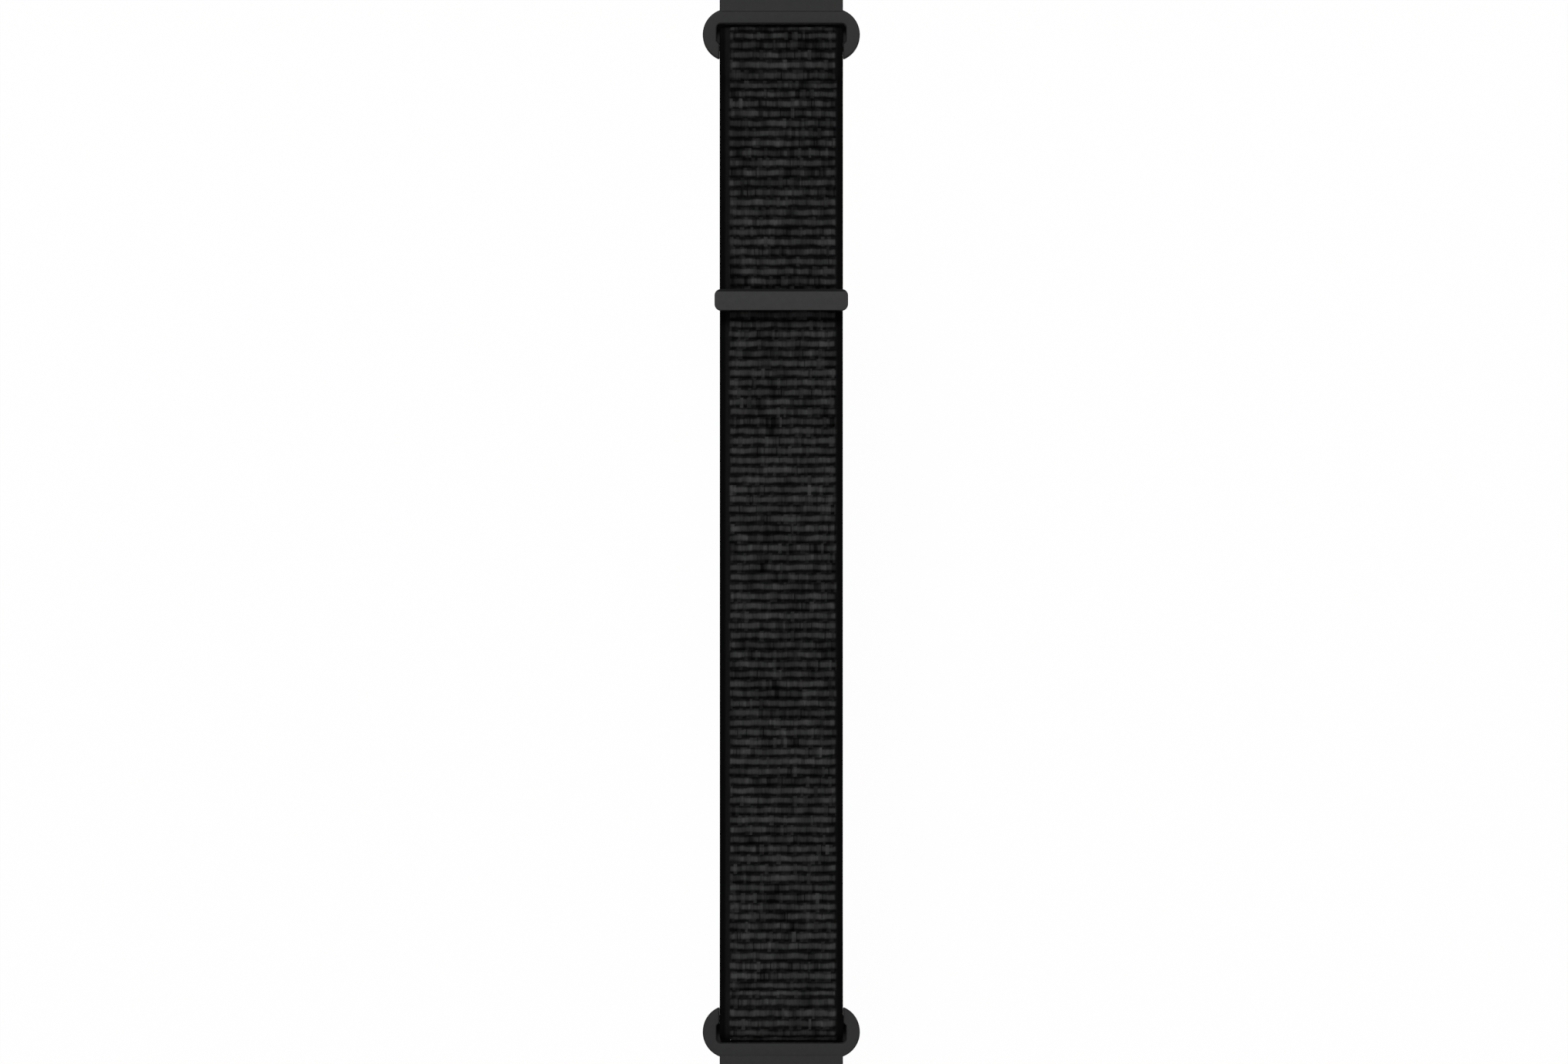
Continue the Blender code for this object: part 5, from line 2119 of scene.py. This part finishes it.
    def model(self) -> dict[str, tuple[Piece, Slot]]:
        """Models each piece of the adapter once.

        Returns:
            The pieces and their slots, by the ends of their CAD nodes' names.
        """
        return {
            "body": (self.body(), Slot.MOULDING),
            "strap_bar": (self.bar(), Slot.STEEL),
            "latch": (self.latch(), Slot.MOULDING),
            "spring_left": (self.spring(-1), Slot.STEEL),
            "spring_right": (self.spring(1), Slot.STEEL),
            "cover": (self.cover_plate(), Slot.PLATE),
            "screw_left": (self.screw(-1), Slot.STEEL),
            "screw_right": (self.screw(1), Slot.STEEL),
        }

    def make(self, finishes: Finishes) -> None:
        """Copies the modelled pieces to both ends of the strap, and hangs them.

        Args:
            finishes: The materials.
        """
        models = self.model()
        for letter, side, turn in (("a", 1, 0.0), ("b", -1, HALF_TURN)):
            place = Matrix.Translation((0.0, side * self.layout.ring, 0.0)) @ Matrix.Rotation(turn, 4, "Z")
            for word, (model, slot) in models.items():
                piece = model.copy()
                piece.data = model.data.copy()
                piece.name = piece.data.name = f"lug_{letter}_{word}"
                bpy.context.scene.collection.objects.link(piece)
                piece.matrix_world = place
                bpy.context.view_layer.update()
                finishes.dress(settle(piece), slot)
                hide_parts(f"adapter_{letter}_{word}")
                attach(piece, f"latch_{letter}" if word == "latch" else f"adapter_{letter}")
                if word.startswith("spring"):
                    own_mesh(piece)
        for model, _ in models.values():
            bpy.data.objects.remove(model, do_unlink=True)


@dataclass
class Studio:
    """A pale floor, soft light from above and a camera that looks straight down.

    The floor lies low enough for the strap to curl into a ring above it.
    """

    photo_width: float = 2034.0
    pixels_per_metre: float = 7339.0
    object_middle: Place = (1013.5, 691.75)
    photo_middle: Place = (1017.0, 690.0)
    lens: float = 200.0
    sensor: float = 36.0
    floor_size: float = 6.0
    floor_height: float = -0.09
    floor_colour: Colour = (0.86, 0.86, 0.86)
    floor_white: float = 0.975
    floor_roughness: float = 0.9
    white: Colour = (1.0, 1.0, 1.0)
    ring_top: float = 0.00425
    sky: float = 0.20
    key_power: float = 20.7
    key_place: Point = (-0.10, 0.89, 1.33)
    key_size: float = 0.46
    fill_power: float = 9.0
    fill_place: Point = (0.0, -1.1, 2.1)
    fill_size: float = 2.4

    def camera(self) -> None:
        """Places the camera so that the frame is the photograph's."""
        wide = self.photo_width / self.pixels_per_metre
        distance = wide * self.lens / self.sensor
        x = (self.photo_middle[0] - self.object_middle[0]) / self.pixels_per_metre
        y = (self.object_middle[1] - self.photo_middle[1]) / self.pixels_per_metre
        bpy.ops.object.camera_add(location=(x, y, distance + self.ring_top), rotation=(0.0, 0.0, 0.0))
        made = bpy.context.active_object
        made.name = made.data.name = "overhead_camera"
        made.data.lens = self.lens
        made.data.sensor_width = self.sensor
        bpy.context.scene.camera = made
        LOG.info("camera %.3f m above the ring's top", distance)

    def lamp(self, name: str, power: float, place: Point, size: float) -> None:
        """Adds a square soft lamp that faces the strap.

        Args:
            name: Its name.
            power: Its power in watts.
            place: Where it is.
            size: Its side.
        """
        turn = (-Vector(place)).to_track_quat("-Z", "Y").to_euler()
        bpy.ops.object.light_add(type="AREA", location=place, rotation=Euler(turn))
        made = bpy.context.active_object
        made.name = made.data.name = name
        made.data.energy = power
        made.data.size = size
        made.visible_camera = False

    def floor(self) -> None:
        """Lays the floor, which is white to the camera but still takes the strap's shadow."""
        deselect_all()
        bpy.ops.mesh.primitive_plane_add(size=self.floor_size, location=(0.0, 0.0, self.floor_height))
        made = settle(added("floor"))
        material, nodes, shader = new_material("pale_floor")
        looks = {"Roughness": self.floor_roughness, "Specular IOR Level": 0.0}
        nodes.fill(shader, {"Base Color": self.floor_colour, **looks})
        share = nodes.maths("MULTIPLY", nodes.background_rays(), self.floor_white)
        glow = nodes.add("ShaderNodeEmission", {"Color": self.white, "Strength": 1.0})
        mix = nodes.add("ShaderNodeMixShader")
        for socket, source in zip(mix.inputs, (share, shader.outputs[0], glow.outputs[0])):
            nodes.feed(socket, source)
        nodes.fill(nodes.tree.nodes["Material Output"], {"Surface": mix.outputs[0]})
        made.data.materials.append(material)

    def world(self) -> None:
        """Makes the surroundings soft and grey for light, and white to look at."""
        made = bpy.data.worlds.new("pale_surroundings")
        bpy.context.scene.world = made
        made.use_nodes = True
        nodes = Nodes(made.node_tree)
        strength = nodes.ranged(nodes.background_rays(), WHOLE, (self.sky, 1.0))
        nodes.fill(nodes.tree.nodes["Background"], {"Color": self.white, "Strength": strength})

    def make(self) -> None:
        """Sets the whole studio up."""
        self.floor()
        self.world()
        self.lamp("key_lamp", self.key_power, self.key_place, self.key_size)
        self.lamp("fill_lamp", self.fill_power, self.fill_place, self.fill_size)
        self.camera()
        bpy.context.scene.view_settings.view_transform = "Standard"


def write_sizes() -> None:
    """Updates the view layer."""
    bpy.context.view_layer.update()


def main() -> None:
    """Builds the strap and its studio in order."""
    logging.basicConfig(level=logging.INFO, format="%(name)s: %(message)s")
    layout = Layout()
    finishes = Finishes()
    Studio().make()
    webbing = Webbing(layout)
    webbing.make(finishes)
    Seam(layout).make(finishes)
    HookPads(layout).make(finishes)
    Stop(layout).make(finishes)
    Adapter(layout).make(finishes)
    webbing.declare()
    deselect_all()
    write_sizes()


if __name__ == "__main__":
    main()
